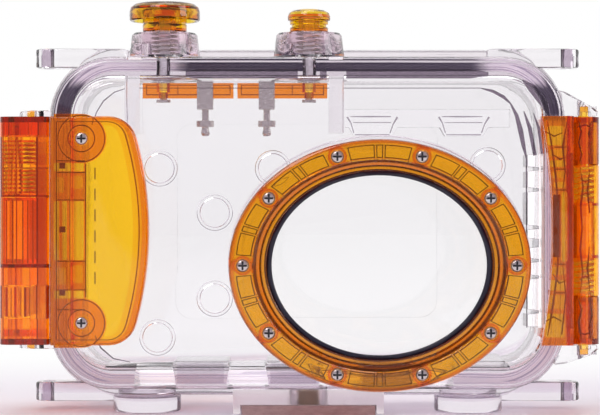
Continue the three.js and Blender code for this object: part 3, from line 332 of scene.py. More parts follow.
# modelling helpers

def addObject(name, bm):
    mesh = bpy.data.meshes.new(name)
    bm.to_mesh(mesh)
    bm.free()
    piece = bpy.data.objects.new(name, mesh)
    scene.collection.objects.link(piece)
    return piece


def addSolid(name, bm):
    bmesh.ops.recalc_face_normals(bm, faces=bm.faces[:])
    return addObject(name, bm)


def bevelEdges(bm, edges, offset, segments):
    bmesh.ops.bevel(bm, geom=edges, offset=offset, offset_type="OFFSET", affect="EDGES",
                    segments=segments, profile=0.5, material=-1, clamp_overlap=True)


# A block between two corners. Its long edges along one axis are rounded by corner, its ends by edge
def block(x, y, z, corner=0, along="y", segments=12, edge=0, edgeSegments=3, ends="both"):
    bm = bmesh.new()
    middle = Vector([(low + high) / 2 for low, high in (x, y, z)])
    size = Vector([high - low for low, high in (x, y, z)])
    bmesh.ops.create_cube(bm, size=1, matrix=Matrix.LocRotScale(middle, None, size))
    axis = "xyz".index(along)
    low, high = (x, y, z)[axis]
    if corner:
        edges = [e for e in bm.edges if abs(e.verts[0].co[axis] - e.verts[1].co[axis]) > 0.001]
        bevelEdges(bm, edges, corner, segments)
    if edge:
        levels = {"both": (low, high), "low": (low,), "high": (high,)}[ends]
        rims = [e for e in bm.edges
                if any(all(abs(v.co[axis] - level) < 0.001 for v in e.verts) for level in levels)]
        bevelEdges(bm, rims, edge, edgeSegments)
    return addObject("block", bm)


# A profile of (radius, height) turned about an axis through centre; squeeze flattens it in Z
def lathe(profile, centre, along="z", steps=48, squeeze=1):
    bm = bmesh.new()
    centre = Vector(centre)
    axis = Vector((0, 0, 1)) if along == "z" else Vector((0, 1, 0))
    start = bm.verts.new(Vector((1, 0, 0)) * profile[0][0] + axis * profile[0][1] + centre)
    first = start
    for radius, height in profile[1:]:
        if (radius, height) == profile[0]:
            bm.edges.new((start, first))
            break
        vert = bm.verts.new(Vector((1, 0, 0)) * radius + axis * height + centre)
        bm.edges.new((start, vert))
        start = vert
    bmesh.ops.spin(bm, geom=bm.verts[:] + bm.edges[:], cent=centre, axis=axis, dvec=(0, 0, 0),
                   angle=2 * pi, steps=steps, use_merge=True, use_duplicate=False)
    bmesh.ops.remove_doubles(bm, verts=bm.verts[:], dist=0.0005)
    if squeeze != 1:
        bmesh.ops.scale(bm, vec=(1, 1, squeeze), space=Matrix.Translation(-centre), verts=bm.verts[:])
    return addSolid("turned", bm)


# A flat outline made solid: points are (x, z) for along y, and (x, y) for along z
def slab(points, span, along="y"):
    bm = bmesh.new()
    low, high = span
    lift = (lambda a, b: (a, low, b)) if along == "y" else (lambda a, b: (a, b, low))
    face = bm.faces.new([bm.verts.new(lift(a, b)) for a, b in points])
    grown = bmesh.ops.extrude_face_region(bm, geom=[face])
    move = Vector((0, high - low, 0)) if along == "y" else Vector((0, 0, high - low))
    bmesh.ops.translate(bm, vec=move, verts=[v for v in grown["geom"] if isinstance(v, bmesh.types.BMVert)])
    return addSolid("slab", bm)


# A flat strip along points of (x, z, half width)
def strip(points, span):
    sides = ([], [])
    for i, (x, z, half) in enumerate(points):
        before, after = points[max(0, i - 1)], points[min(len(points) - 1, i + 1)]
        way = Vector((after[0] - before[0], after[1] - before[1])).normalized() * half
        sides[0].append((x - way.y, z + way.x))
        sides[1].append((x + way.y, z - way.x))
    return slab(sides[0] + sides[1][::-1], span)


def rod(x, y, z, radius, along="z", steps=32):
    spans = {"z": (z, (x, y, 0)), "y": (y, (x, 0, z))}
    (low, high), centre = spans[along]
    return lathe([(0, low), (radius, low), (radius, high), (0, high)], centre, along, steps)


bores = {"screw": 1.25, "pin": 1.8}


def screwBore(x, y, z):
    return rod(x, y, z, bores["screw"], "y", 20)


def pinBore(centre, z):
    return rod(*centre, z, bores["pin"], steps=24)


# A rod with a hole right through it
def tube(x, y, z, outer, inner, along="z", steps=40):
    hole = {"z": z, "y": y}[along]
    hole = (hole[0] - 1, hole[1] + 1)
    through = (x, y, hole) if along == "z" else (x, hole, z)
    return cut(rod(x, y, z, outer, along, steps), [rod(*through, inner, along, steps)])


def combine(piece, others, operation):
    for other in others:
        change = piece.modifiers.new(operation, "BOOLEAN")
        change.operation = operation
        change.object = other
        change.solver = "MANIFOLD"
    seen = piece.evaluated_get(bpy.context.evaluated_depsgraph_get())
    mesh = bpy.data.meshes.new_from_object(seen)
    piece.modifiers.clear()
    old = piece.data
    piece.data = mesh
    bpy.data.meshes.remove(old)
    for other in others:
        spare = other.data
        bpy.data.objects.remove(other)
        bpy.data.meshes.remove(spare)
    return piece


def join(piece, others):
    return combine(piece, others, "UNION")


def cut(piece, others):
    return combine(piece, others, "DIFFERENCE")


# Rounds the edges of a piece whose two ends both pass the test
def roundEdges(piece, passes, offset, segments=4):
    bm = bmesh.new()
    bm.from_mesh(piece.data)
    bmesh.ops.dissolve_limit(bm, angle_limit=radians(0.2), verts=bm.verts[:], edges=bm.edges[:])
    edges = [e for e in bm.edges if passes(e.verts[0].co) and passes(e.verts[1].co) and e.is_manifold
             and e.calc_face_angle() > radians(30)]
    bevelEdges(bm, edges, offset, segments)
    bm.to_mesh(piece.data)
    bm.free()
    return piece


def smoothByAngle(mesh, angle):
    mesh.shade_smooth()
    mesh.set_sharp_from_angle(angle=radians(angle))


# Turns a piece into metres and hands it over. painted gives flat floors of cuts, found by depth, another look: mostly
# painted shade, also a painted glow or a frosted finish
def finishPiece(piece, name, body, material, nodes, angle=35, bevel=0, painted=None):
    painted = painted or {}
    piece.name = name
    mesh = piece.data
    mesh.name = name
    mesh.transform(Matrix.Scale(mm, 4))
    mesh.materials.clear()
    mesh.materials.append(materials[material])
    bm = bmesh.new()
    bm.from_mesh(mesh)
    kept = {v for v in bm.verts if any(abs(v.co.y / mm - level) < 0.02 for level in painted)}
    bmesh.ops.dissolve_limit(bm, angle_limit=radians(0.5), verts=[v for v in bm.verts if v not in kept],
                             edges=[e for e in bm.edges if not kept.issuperset(e.verts)])
    bm.to_mesh(mesh)
    bm.free()
    for level, look in painted.items():
        mesh.materials.append(materials[look])
        for face in mesh.polygons:
            if abs(face.center.y / mm - level) < 0.02 and abs(face.normal.y) > 0.9:
                face.material_index = len(mesh.materials) - 1
    smoothByAngle(mesh, angle)
    if bevel:
        soften = piece.modifiers.new("softEdges", "BEVEL")
        soften.width = bevel * mm
        soften.segments = 2
        soften.limit_method = "ANGLE"
        soften.angle_limit = radians(angle)
        soften.harden_normals = True
    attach(piece, body)
    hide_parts(*nodes)
    return piece


def finishAmber(piece, node, look, painted=None, body="front_half", bevel=0.05, angle=32):
    return finishPiece(piece, f"{node}_moulded", body, look, [node], angle, bevel, painted)


# Gives the faces that pass the test another look. The test gets a face's middle in millimetres and its normal
def paintFaces(piece, look, passes):
    piece.data.materials.append(materials[look])
    for face in piece.data.polygons:
        if passes(face.center / mm, face.normal):
            face.material_index = len(piece.data.materials) - 1


def cadCopy(node):
    bm = bmesh.new()
    bm.from_mesh(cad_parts[node].data)
    bmesh.ops.remove_doubles(bm, verts=bm.verts[:], dist=0.000002)
    bmesh.ops.scale(bm, vec=(1 / mm,) * 3, verts=bm.verts[:])
    return addObject(node, bm)


# A rounded copy of a CAD solid that already has the right shape, hollowed where voids are given
def dressNode(node, body, material, bevel, voids=(), painted=None):
    piece = cadCopy(node)
    if voids:
        cut(piece, voids)
    return finishPiece(piece, f"{node}_fine", body, material, [node], 35, bevel, painted)


# case

case = {
    "x": (-70.9, 75.1), "z": (3.6, 101), "corner": 20, "rimOver": 3.6, "rim": (12.7, 17.7), "wall": 8.6, "front": -14,
    "inner": -10, "seam": (17.7, 18), "rearRim": (18, 23), "rear": 38, "rearInner": 34,
    "floorPockets": (-34.6, -9.4, 15.6, 40.8), "pocketBack": 14.05, "lugs": (81.3, 16.6), "lugHeight": 2.6,
    "feet": (-42.4, 46.6),
    "foot": ((0, 0), (8.4, 0), (9.2, 0.3), (9.4, 0.9), (9.4, 4.2), (9, 4.6), (8, 4.6), (8, 7.6), (0, 7.6)),
    "webs": (((69, 81.3), (80.4, 81.3), (80.6, 82.4), (78.6, 83.9), (71.6, 87.8), (69, 88.4)),
        ((69, 19.2), (80.4, 19.2), (80.6, 18.2), (78.6, 16.6), (72, 14.4), (69, 14))),
    "mark": ((0, -10.3), (4.9, -10.3), (4.9, -9.92), (4.75, -9.72), (4.1, -9.72), (3.9, -9.92), (0, -9.92)),
    "blockX": (-18.2, 22.8), "blockFace": -10.4, "blockBack": 14, "blockZ": (0.4, 7.6),
    "platePocket": ((-16.2, 20.8), (-12, 12), (-1.6, 2.9)), "insertBore": (2.3, 2, (0, 6.7), 5.3),
    "posts": ((-67.3, -63), (67.2, 71.5)), "postZ": (19.8, 80.7), "ribs": ((-47.5, -43.4), (7.8, 11.9)),
    "screenWindow": ((-35.9, 40.1), (37.2, 41), (24.3, 80.3)), "sealGroove": (2.9, 7.4), "lugRadius": 3.6,
    "strapHoles": {"x": (-70.7, 74.9), "y": 12.7, "radius": 1.7}, "shadeLine": -10.7, "blockLine": -11.4,
    "shades": (
        ((-56.2, 78.7, 0.1), (-55.1, 82.3, 0.14), (-53.2, 85.3, 0.16), (-50.2, 87.7, 0.13), (-46.9, 88.8, 0.1),
            (48.8, 88.8, 0.12), (52.1, 88, 0.4), (55.1, 86.4, 0.45), (57, 84.6, 0.2), (58.6, 81.5, 0.5),
            (59.7, 77.4, 0.7), (60.5, 73.3, 0.55), (61.3, 69.8, 0.2), (61.4, 24, 0.12)),
        ((60.6, 82.5, 0.15), (62.2, 78, 0.55), (63.6, 70.6, 0.5)),
        ((63.2, 82, 0.12), (64.6, 78, 0.4), (65.5, 71, 0.35)),
        ((60.2, 91, 0.2), (63, 88.6, 1.2), (66.2, 84.4, 1.1), (67.6, 81, 0.3)),
        ((-31, 92.7, 0.9), (-28, 92.7, 1.3), (-0.6, 92.7, 1.3)), ((5.4, 92.7, 1.3), (7.2, 92.7, 1.3)),
        ((12.5, 92.7, 1.3), (46, 92.7, 1.3), (51, 92.6, 0.5)),
        ((-55.3, 22, 0.12), (-54, 18.6, 0.2), (-50.5, 15.6, 0.16), (-46, 14.7, 0.1))),
    "floorBlocks": ((-33.2, -20.6), (-8, 4.4), (17, 29.6)),
    "marks": ((-38.1, 67.1), (-23.1, 55.1), (-23.1, 31.8), (-38.6, 21.3), (-7.3, 67.1), (50.8, 67.9)),
}
port = {
    "x": 20.7, "z": 41.4, "squeeze": 0.836, "steps": 128, "screwCircle": 35.6, "screws": 10,
    "tube": ((0, -32), (35.4, -32), (35.4, -11), (0, -11)),
    "flange": ((0, -32), (39.2, -32), (39.6, -31.6), (39.6, -27.4), (39.2, -27), (0, -27)), "flangeRise": 1,
    "bore": ((0, -34), (33.5, -34), (33.5, -29), (30.4, -29), (30.4, -9), (0, -9)),
}
buttons = {
    "y": 2, "shutter": -37.5, "power": 2.5, "stems": {"shutter": 6.1, "power": 5.3},
    "boss": ((0, 94.5), (10.6, 94.5), (10.6, 97.4), (9.8, 98.3), (9.1, 104.1), (8.6, 104.7), (0, 104.7)),
    "bore": ((0, 90), (1.9, 90), (1.9, 95.3), (3.4, 95.3), (3.4, 97.9), (4.6, 97.9), (4.6, 101.3)), "boreTop": 106,
}
ears = {"tops": (101, 7.6), "over": 3.4, "width": 26, "height": 5.3, "y": (7.7, 17.7), "corner": 3.5, "edge": 0.6}
hingeAxis = (-76.2, 18)
latchAxis = (77, -10)
coverScrews = {"upper": (-58.6, 75), "lower": (-58.6, 25.5)}


def inCase(inset):
    return ((case["x"][0] + inset, case["x"][1] - inset), (case["z"][0] + inset, case["z"][1] - inset),
            case["corner"] - inset)


def casePrism(inset, y, edge=0, edgeSegments=4, ends="both", segments=16):
    x, z, corner = inCase(inset)
    return block(x, y, z, corner, "y", segments, edge, edgeSegments, ends)


def portRound(profile, rise=0):
    return lathe(profile, (port["x"], 0, port["z"] + rise), "y", port["steps"], port["squeeze"])


def portPlaces():
    out, count = port["screwCircle"], port["screws"]
    return [(port["x"] + out * cos(2 * pi * i / count), port["z"] + out * port["squeeze"] * sin(2 * pi * i / count))
            for i in range(count)]


def bossBore(name):
    radius, top = buttons["stems"][name] + 0.3, buttons["boreTop"]
    profile = [*buttons["bore"], (radius, buttons["bore"][-1][1]), (radius, top), (0, top)]
    return lathe(profile, (buttons[name], buttons["y"], 0), "z", 48)


def ear(side, top):
    outer = case["x"][0] - ears["over"] if side < 0 else case["x"][1] + ears["over"]
    x = (outer, outer + ears["width"]) if side < 0 else (outer - ears["width"], outer)
    return block(x, ears["y"], (top - ears["height"], top), ears["corner"], "z", 6, ears["edge"], 2)


def frontCase():
    shell = casePrism(case["rimOver"], (case["front"], case["seam"][0]), 2.3, 6, "low")
    lugs = []
    radius = case["lugRadius"]
    for low in case["lugs"]:
        top = low + case["lugHeight"]
        lugs += [block((hingeAxis[0], -65.9), case["rim"], (low, top), 0.5, "x", 3),
                 lathe([(0, low), (radius, low), (radius, low + 1.9), (3.3, low + 2.4), (2.8, top), (0, top)],
                       (*hingeAxis, 0), "z", 32),
                 rod(*latchAxis, (low, top), radius)]
    lugs += [slab(outline, (-13.4, -6.6)) for outline in case["webs"]]
    feet = [lathe(case["foot"], (x, 3, 0), "z", 64) for x in case["feet"]]
    join(shell, [
        casePrism(0, case["rim"], 0.7, 3),
        portRound(port["tube"]),
        portRound(port["flange"], port["flangeRise"]),
        *[lathe(buttons["boss"], (buttons[name], buttons["y"], 0), "z", 64) for name in buttons["stems"]],
        *[ear(side, top) for top in ears["tops"] for side in (-1, 1)],
        *feet,
        block(case["blockX"], (case["blockFace"], case["blockBack"]), case["blockZ"]),
        *[block(x, (case["front"], -9), case["postZ"]) for x in case["posts"]],
        *lugs,
    ])
    strap = case["strapHoles"]
    holes = [rod(x, strap["y"], z, strap["radius"], steps=24) for x in strap["x"] for z in ((-2, 8.5), (94, 103))]
    pins = [pinBore(axis, (0, 101)) for axis in (hingeAxis, latchAxis)]
    screws = [screwBore(x, (-34, -28.25), z) for x, z in portPlaces()]
    screws += [screwBore(x, (-16, -11.25), z) for x, z in coverScrews.values()]
    cut(shell, [
        casePrism(case["wall"], (case["inner"], 20), 2.2, 4, "low"),
        portRound(port["bore"]),
        *[bossBore(name) for name in buttons["stems"]],
        *holes, *pins, *screws,
        block(*case["platePocket"]),
        rod(*case["insertBore"]),
        *[slab([(right - 10.5, 8.9), (right + 0.9, 8.9), (right, 14.2), (right - 9.6, 14.2)],
               (case["inner"], case["pocketBack"])) for right in case["floorPockets"]],
    ])
    # Strips and blocks cut from behind into the front wall; their floors get painted shade
    cut(shell, [strip(points, (case["shadeLine"], -9)) for points in case["shades"]])
    cut(shell, [block(x, (case["blockLine"], -10.5), (9.2, 14.4)) for x in case["floorBlocks"]])
    ribs = [block(x, (-11, 6), (76.8, 93.5), 0.5, "z", 2) for x in case["ribs"]]
    marks = [lathe(case["mark"], (x, 0, z), "y", 48) for x, z in case["marks"]]
    join(shell, ribs + marks)
    # The pocket backs get a painted glow, the cut floors painted shade and the tripod block a frosted face
    finishPiece(shell, "front_shell", "front_half", "clearPlastic", ["front_case"], angle=32,
                bevel=0.3, painted={case["blockFace"]: "frostedPlastic", case["pocketBack"]: "litPlastic",
                                    case["shadeLine"]: "shadePlastic", case["blockLine"]: "paleShadePlastic"})

    def inHole(p, n):
        return abs(n.z) < 0.1 and any(abs(hypot(p.x - x, p.y - strap["y"]) - strap["radius"]) < 0.05
                                      for x in strap["x"])

    # Painted shade on the rim front, the feet, the strap holes and the bosses
    paintFaces(shell, "rimShadePlastic", lambda p, n: abs(p.y - case["rim"][0]) < 0.2 and n.y < -0.9)
    paintFaces(shell, "footShadePlastic", lambda p, n: p.z < 8.2 and n.y < -0.2 and abs(p.y - case["blockFace"]) > 0.1)
    paintFaces(shell, "holeShadePlastic", inHole)
    paintFaces(shell, "bossShadePlastic", lambda p, n: p.z > case["z"][1] + 0.1 and -9 < p.y < 13)


def rearCover():
    shell = casePrism(case["rimOver"], (case["seam"][1], case["rear"]), 3, 5, "high")
    join(shell, [casePrism(0, case["rearRim"], 0.7, 3)])
    outer, inner = case["sealGroove"]
    groove = cut(casePrism(outer, (16, 21.2)), [casePrism(inner, (14, 26))])
    cut(shell, [
        casePrism(case["wall"], (16, case["rearInner"]), 2.2, 4, "high"),
        groove,
        block(*case["screenWindow"], 5, "y", 8),
    ])
    return finishPiece(shell, "rear_door_shell", "rear_door", "clearPlastic", ["rear_cover"],
                       angle=32, bevel=0.3)


seal = {
    "insets": (3.2, 7.1), "y": (18.02, 20.9), "grooves": ((3.7, 0.3), (4.6, 0.5), (5.9, 0.25), (6.5, 0.3)),
    "grooveFloor": 18.5,
}


def mainSeal():
    outer, inner = seal["insets"]
    ring = cut(casePrism(outer, seal["y"]), [casePrism(inner, (15, 25))])
    for inset, width in seal["grooves"]:
        cut(ring, [cut(casePrism(inset, (17, seal["grooveFloor"])), [casePrism(inset + width, (16, 20))])])
    # The floors of the grooves get painted shade
    return finishPiece(ring, "door_seal", "rear_door", "doorSeal", ["main_seal"],
                       angle=40, bevel=0.08, painted={seal["grooveFloor"]: "sealGroove"})


frontCase()
rearCover()
mainSeal()
print("case done")


# port

ringSizes = {
    "front": -38, "back": -32.3, "outer": 39.3, "lips": (29.5, 31, 32.4), "lipBack": -34.1, "overGlass": -32.6,
    "seat": 31.3, "socket": 33.5, "flangeBack": -35.3, "pocketFloor": -35.5, "pocket": (33.5, 37.4),
    "lineFloor": -36.1, "pane": ((0, -32.28), (33, -32.28), (33.2, -32.1), (33.2, -29.5), (33, -29.32), (0, -29.32)),
    "gasket": ((28.1, -32.9), (28.1, -33.5), (28.4, -33.8), (29.7, -33.8), (30, -33.5), (30, -32.9), (29.7, -32.62),
        (28.4, -32.62), (28.1, -32.9)),
}


def ringSector(inner, outer, y, start, end):
    bm = bmesh.new()
    centre = Vector((port["x"], 0, port["z"]))
    corners = [bm.verts.new(centre + Vector((r, h, 0))) for r, h in
               ((inner, y[0]), (outer, y[0]), (outer, y[1]), (inner, y[1]))]
    for i in range(4):
        bm.edges.new((corners[i], corners[(i + 1) % 4]))
    bmesh.ops.rotate(bm, cent=centre, matrix=Matrix.Rotation(-radians(start), 3, "Y"), verts=bm.verts[:])
    bmesh.ops.spin(bm, geom=bm.verts[:] + bm.edges[:], cent=centre, axis=(0, -1, 0), dvec=(0, 0, 0),
                   angle=radians(end - start), steps=max(2, int((end - start) / 2)), use_duplicate=False)
    bmesh.ops.holes_fill(bm, edges=[e for e in bm.edges if e.is_boundary], sides=4)
    bmesh.ops.scale(bm, vec=(1, 1, port["squeeze"]), space=Matrix.Translation(-centre), verts=bm.verts[:])
    return addSolid("sector", bm)


def portRing():
    s = ringSizes
    lips = s["lips"]
    over, socket, outer = s["overGlass"], s["socket"], s["outer"]
    ring = portRound([
        (lips[0], s["lipBack"]), (lips[0], -35.1), (lips[0] + 0.2, -35.35), (lips[1] - 0.1, -35.35),
        (lips[1] + 0.1, -36.25), (lips[1] + 0.3, -36.45), (lips[2] - 0.1, -36.5), (lips[2], -37.3),
        (lips[2] + 0.2, -37.5), (lips[2] + 0.5, -37.55), (lips[2] + 0.8, s["front"]), (outer - 1.3, s["front"]),
        (outer - 0.4, -37.6), (outer, -36.7), (outer, s["back"]), (38.7, s["back"]), (38.7, s["flangeBack"]),
        (socket, s["flangeBack"]), (socket, -34), (32.2, -34), (32.2, over), (s["seat"], over),
        (s["seat"], s["lipBack"]), (lips[0], s["lipBack"])])
    join(ring, [rod(x, (-36.6, s["back"]), z, 2.5, "y", 32) for x, z in portPlaces()])
    inner, outer = s["pocket"]
    spans = [(36 * i + start, 36 * i + end) for i in range(10)
             for start, end in ((5, 15.9), (16.6, 19.4), (20.1, 31))]
    cut(ring, [ringSector(inner, outer, (s["lineFloor"], -31), start, end) for start, end in spans])
    join(ring, [ringSector(inner + 0.26, outer - 0.26, (s["lineFloor"] - 0.4, s["pocketFloor"]), start + 0.4, end - 0.4)
                for start, end in spans])
    cut(ring, [rod(x, (-40, -36.25), z, 2, "y", 24) for x, z in portPlaces()]
        + [screwBore(x, (-40, -31), z) for x, z in portPlaces()])
    # The floors of the pocket outlines get painted shade
    return finishAmber(ring, "port_ring", "ringAmber", {s["lineFloor"]: "shadeLineAmber"}, angle=30)


screw = {
    "head": ((0.95, 1.1), (1.7, 1.1), (1.7, 0.6), (1.6, 0.38), (1.35, 0.18), (0.9, 0.06), (0, 0)),
    "slot": (1.15, 0.26), "slotDepth": 0.75, "portTop": -37.65, "portLength": 8, "coverTop": -18.65, "coverLength": 6,
}


def crossScrew(name, x, top, z, length):
    shank = [(0, 1.1 + length), (0.4, 1.1 + length), (0.95, 0.5 + length)]
    turned = lathe([(radius, top + height) for radius, height in (*shank, *screw["head"])], (x, 0, z), "y", 28)
    reach, half = screw["slot"]
    cut(turned, [block((x - a, x + a), (top - 1, top + screw["slotDepth"]), (z - b, z + b))
                 for a, b in ((reach, half), (half, reach))])
    finishPiece(turned, f"{name}_fine", "front_half", "brightSteel", [name], bevel=0.05)

    # The floors and walls of the slots get painted shade: dark, dull steel
    def inSlot(p, n):
        near, far = sorted((abs(p.x - x), abs(p.z - z)))
        return 0.1 < p.y - top < screw["slotDepth"] + 0.05 and far < reach + 0.02 and near < half + 0.01

    paintFaces(turned, "slotShadeSteel", inSlot)


def screws():
    for i, (x, z) in enumerate(portPlaces()):
        crossScrew(f"port_screw_{i + 1:02d}", x, screw["portTop"], z, screw["portLength"])
    for name, (x, z) in coverScrews.items():
        crossScrew(f"hinge_cover_screw_{name}", x, screw["coverTop"], z, screw["coverLength"])


def portWindow():
    finishPiece(portRound(ringSizes["pane"]), "port_pane", "front_half", "portGlass",
                ["port_glass"], angle=40)
    finishPiece(portRound(ringSizes["gasket"]), "port_seal", "front_half", "sealRubber",
                ["port_gasket"], angle=50)


portRing()
screws()
portWindow()
print("port done")


# hinge

cover = {
    "x": (-67, -36), "y": (-19, -14.3), "z": (19.5, 81), "bulge": -40.6, "radius": 93.3, "skins": (3.1, 2.2, 1.5),
    "insets": (2, 2.9, 4.2), "corner": 7.5, "lineFloor": -17.8, "squareFloor": -17.9,
    "windows": (((-66, -58), (66.2, 68.6), 1.5), ((-66, -64.6), (42.4, 58.2), 1.5),
        ((-63.8, -62.4), (42.4, 58.2), 1.5), ((-61.6, -58), (42.4, 58.2), 1.5), ((-66, -58), (29.4, 34.2), 1.5),
        ((-65.6, -63.4), (60.4, 64.6), 3), ((-61.4, -58.4), (61.6, 65), 3), ((-65.6, -62.8), (35.8, 40.4), 3),
        ((-61, -58.4), (36.2, 41), 3)),
    "levels": (69, 65.9, 58.5, 42.1, 34.4, 29.1), "dashes": (36, 41.6, 47.2, 52.8, 58.4, 64),
    "squares": (67.7, 50.6, 33.7),
}


# Flat shape of the cover: straight on the left, one long bulge on the right with round corners
def coverShape(inset, y, left):
    low, high = cover["z"][0] + inset * 0.6, cover["z"][1] - inset * 0.6
    middle = (low + high) / 2
    radius = cover["radius"] - inset
    corner = max(1.5, cover["corner"] - inset)
    start = cover["bulge"] - cover["radius"]
    reach = high - corner - middle
    across = sqrt((radius - corner) ** 2 - reach ** 2)
    lean = atan2(reach, across)
    turns = [pi / 2 + (lean - pi / 2) * i / 6 for i in range(7)]
    upper = [(start + across + corner * cos(a), high - corner + corner * sin(a)) for a in turns]
    bulge = [(start + radius * cos(lean * (1 - i / 20)), middle + radius * sin(lean * (1 - i / 20)))
             for i in range(1, 40)]
    lower = [(x, 2 * middle - z) for x, z in reversed(upper)]
    return slab([(left, low), (left, high), *upper, *bulge, *lower], y)


def hingeCover():
    front, back = cover["y"]
    floor = cover["lineFloor"]
    plate = roundEdges(coverShape(0, (front, back), cover["x"][0]), lambda p: p.y < front + 0.01, 1.2, 4)
    screws = coverScrews.values()
    for skin, inset in zip(cover["skins"], cover["insets"]):
        cut(plate, [coverShape(inset, (front + skin, back + 2), -57.4)])
    cut(plate, [block(x, (front + skin, back + 2), z, 0.3, "y", 2) for x, z, skin in cover["windows"]])
    domes = [rod(x, (front + 0.6, back), z, 6.6, "y", 48) for x, z in screws]
    domes += [block((-66, x), (front + 0.6, back), (z - 6.6, z + 6.6)) for x, z in screws]
    join(plate, domes)
    lines = [cut(coverShape(2.4, (floor, back + 1), -65.4), [coverShape(2.7, (floor - 1, back + 2), -65.1)]),
             block((-57.6, -57.3), (floor, back + 1), (32.4, 68.2))]
    lines += [tube(x, (floor, back + 1), z, radius, radius - 0.28, "y", 56) for x, z in screws for radius in (3.7, 6.4)]
    lines += [block((-65.2, -57.6), (floor, back + 1), (z - 0.13, z + 0.13)) for z in cover["levels"]]
    lines += [block((-55.1, -54.8), (floor, back + 1), (z, z + 3.2)) for z in cover["dashes"]]
    cut(plate, lines)
    cut(plate, [block((-64.5, -62.9), (cover["squareFloor"], back + 1), (z - 0.8, z + 0.8)) for z in cover["squares"]])
    cut(plate, [rod(x, (front - 1, front + 0.3), z, 3.1, "y", 40) for x, z in screws])
    cut(plate, [rod(x, (front - 1, front + 1.75), z, 2, "y", 28) for x, z in screws])
    cut(plate, [screwBore(x, (front - 1, back + 1), z) for x, z in screws])
    # The floors of the engraved lines and squares get painted shade
    return finishAmber(plate, "hinge_cover", "amber", {floor: "shadeLineAmber", cover["squareFloor"]: "deepShadeAmber"})


barrel = {
    "x": (-81.2, -67.6), "y": (-15.5, 12.2), "z": (19.5, 81), "radius": 5, "side": 1.1, "split": (-71.3, -70.9),
    "boreRadius": 4.1, "leaf": (40.7, 59.6), "lineFloor": -14.4,
    "chambers": (((75.6, 79.6), 6, 5), ((67.3, 75.61), 2, 3), ((59.8, 67.1), 2, 3.2), ((41.2, 59.4), 3, 3.4),
        ((35.4, 40.2), 4.2, 3.4), ((26.6, 35.41), 2, 1.8), ((21, 26.61), 3.4, 2.8)),
    "springBores": ((60.4, 77), (22, 39.9)), "teeth": (60.3, 1.15), "bars": (-79, -76.8, -74.2),
    "lines": (((-79.2, -77.6, -76.6, -74.9, -73.6, -72.2), (41.4, 58.5)), ((-78, -75.4, -73), (27.2, 34.8))),
    "seams": ((66.95, 67.3), (59.1, 59.4), (75.6, 75.9), (35.35, 35.65), (26.5, 26.8)),
}


def hingeBarrel():
    low, high = barrel["z"]
    left, right = barrel["x"]
    front, back = barrel["y"]
    x, y = hingeAxis
    side = barrel["side"]
    body = block(barrel["x"], barrel["y"], barrel["z"])
    roundEdges(body, lambda p: p.x < -81 and p.y < -15, 3.2, 8)
    roundEdges(body, lambda p: p.x > -68 and p.y < -15, 0.8, 3)
    join(body, [block((-81.2, -71.2), (11, 18), barrel["z"]), rod(x, y, barrel["z"], barrel["radius"], steps=56)])
    cut(body, [
        block((x - 7, x + 7), (12.2, 26), barrel["leaf"]),
        rod(x, y, barrel["leaf"], 5.3, steps=56),
        pinBore(hingeAxis, (low - 1, high + 1)),
        *[rod(x, y, z, barrel["boreRadius"], steps=40) for z in barrel["springBores"]],
    ])
    for z, skin, rightSkin in barrel["chambers"]:
        deep = 11.1 if z[0] > barrel["leaf"][0] and z[1] < barrel["leaf"][1] else 14.6
        cut(body, [block((left + side, barrel["split"][0]), (front + skin, deep), z),
                   block((barrel["split"][1], right - side), (front + rightSkin, 11.1), z)])
    start, step = barrel["teeth"]
    steps = [start + step * i for i in range(13) if i != 6]
    teeth = [block((-80, -76.6), (front + 1, front + 5.4), (z, z + 0.55)) for z in steps]
    teeth += [block((-76, -72), (front + 1, front + 7.4), (z, z + 0.6)) for z in steps]
    teeth += [block((at - 0.3, at + 0.3), (front + 2, 6), (27, 35)) for at in barrel["bars"]]
    join(body, teeth)
    floor = barrel["lineFloor"]
    for spots, z in barrel["lines"]:
        cut(body, [block((at, at + 0.25), (floor, -8), z) for at in spots])
    for z in barrel["seams"]:
        cut(body, [block((-83, -66), (front - 2, front + 0.25), z)])
    # The floors of the engraved lines get painted shade
    return finishAmber(body, "hinge_barrel", "amber", {floor: "shadeLineAmber"})


# The leaf and both pins keep their CAD shape, with hollows that let light through
def hingeLeaf():
    x, y = hingeAxis
    voids = [tube(x, y, (41.9, 58.4), 4.3, 2.8, steps=56),
             block((-75.5, -72), (22.9, 26.5), (41.9, 58.4)), block((-72.1, -68.4), (24.1, 26.5), (41.9, 58.4)),
             block((-69.9, -68.3), (24.1, 34.2), (30, 70.3))]
    dressNode("hinge_leaf", "rear_door", "amber", 0.4, voids)


hingeCover()
hingeBarrel()
hingeLeaf()
print("hinge done")


# latch

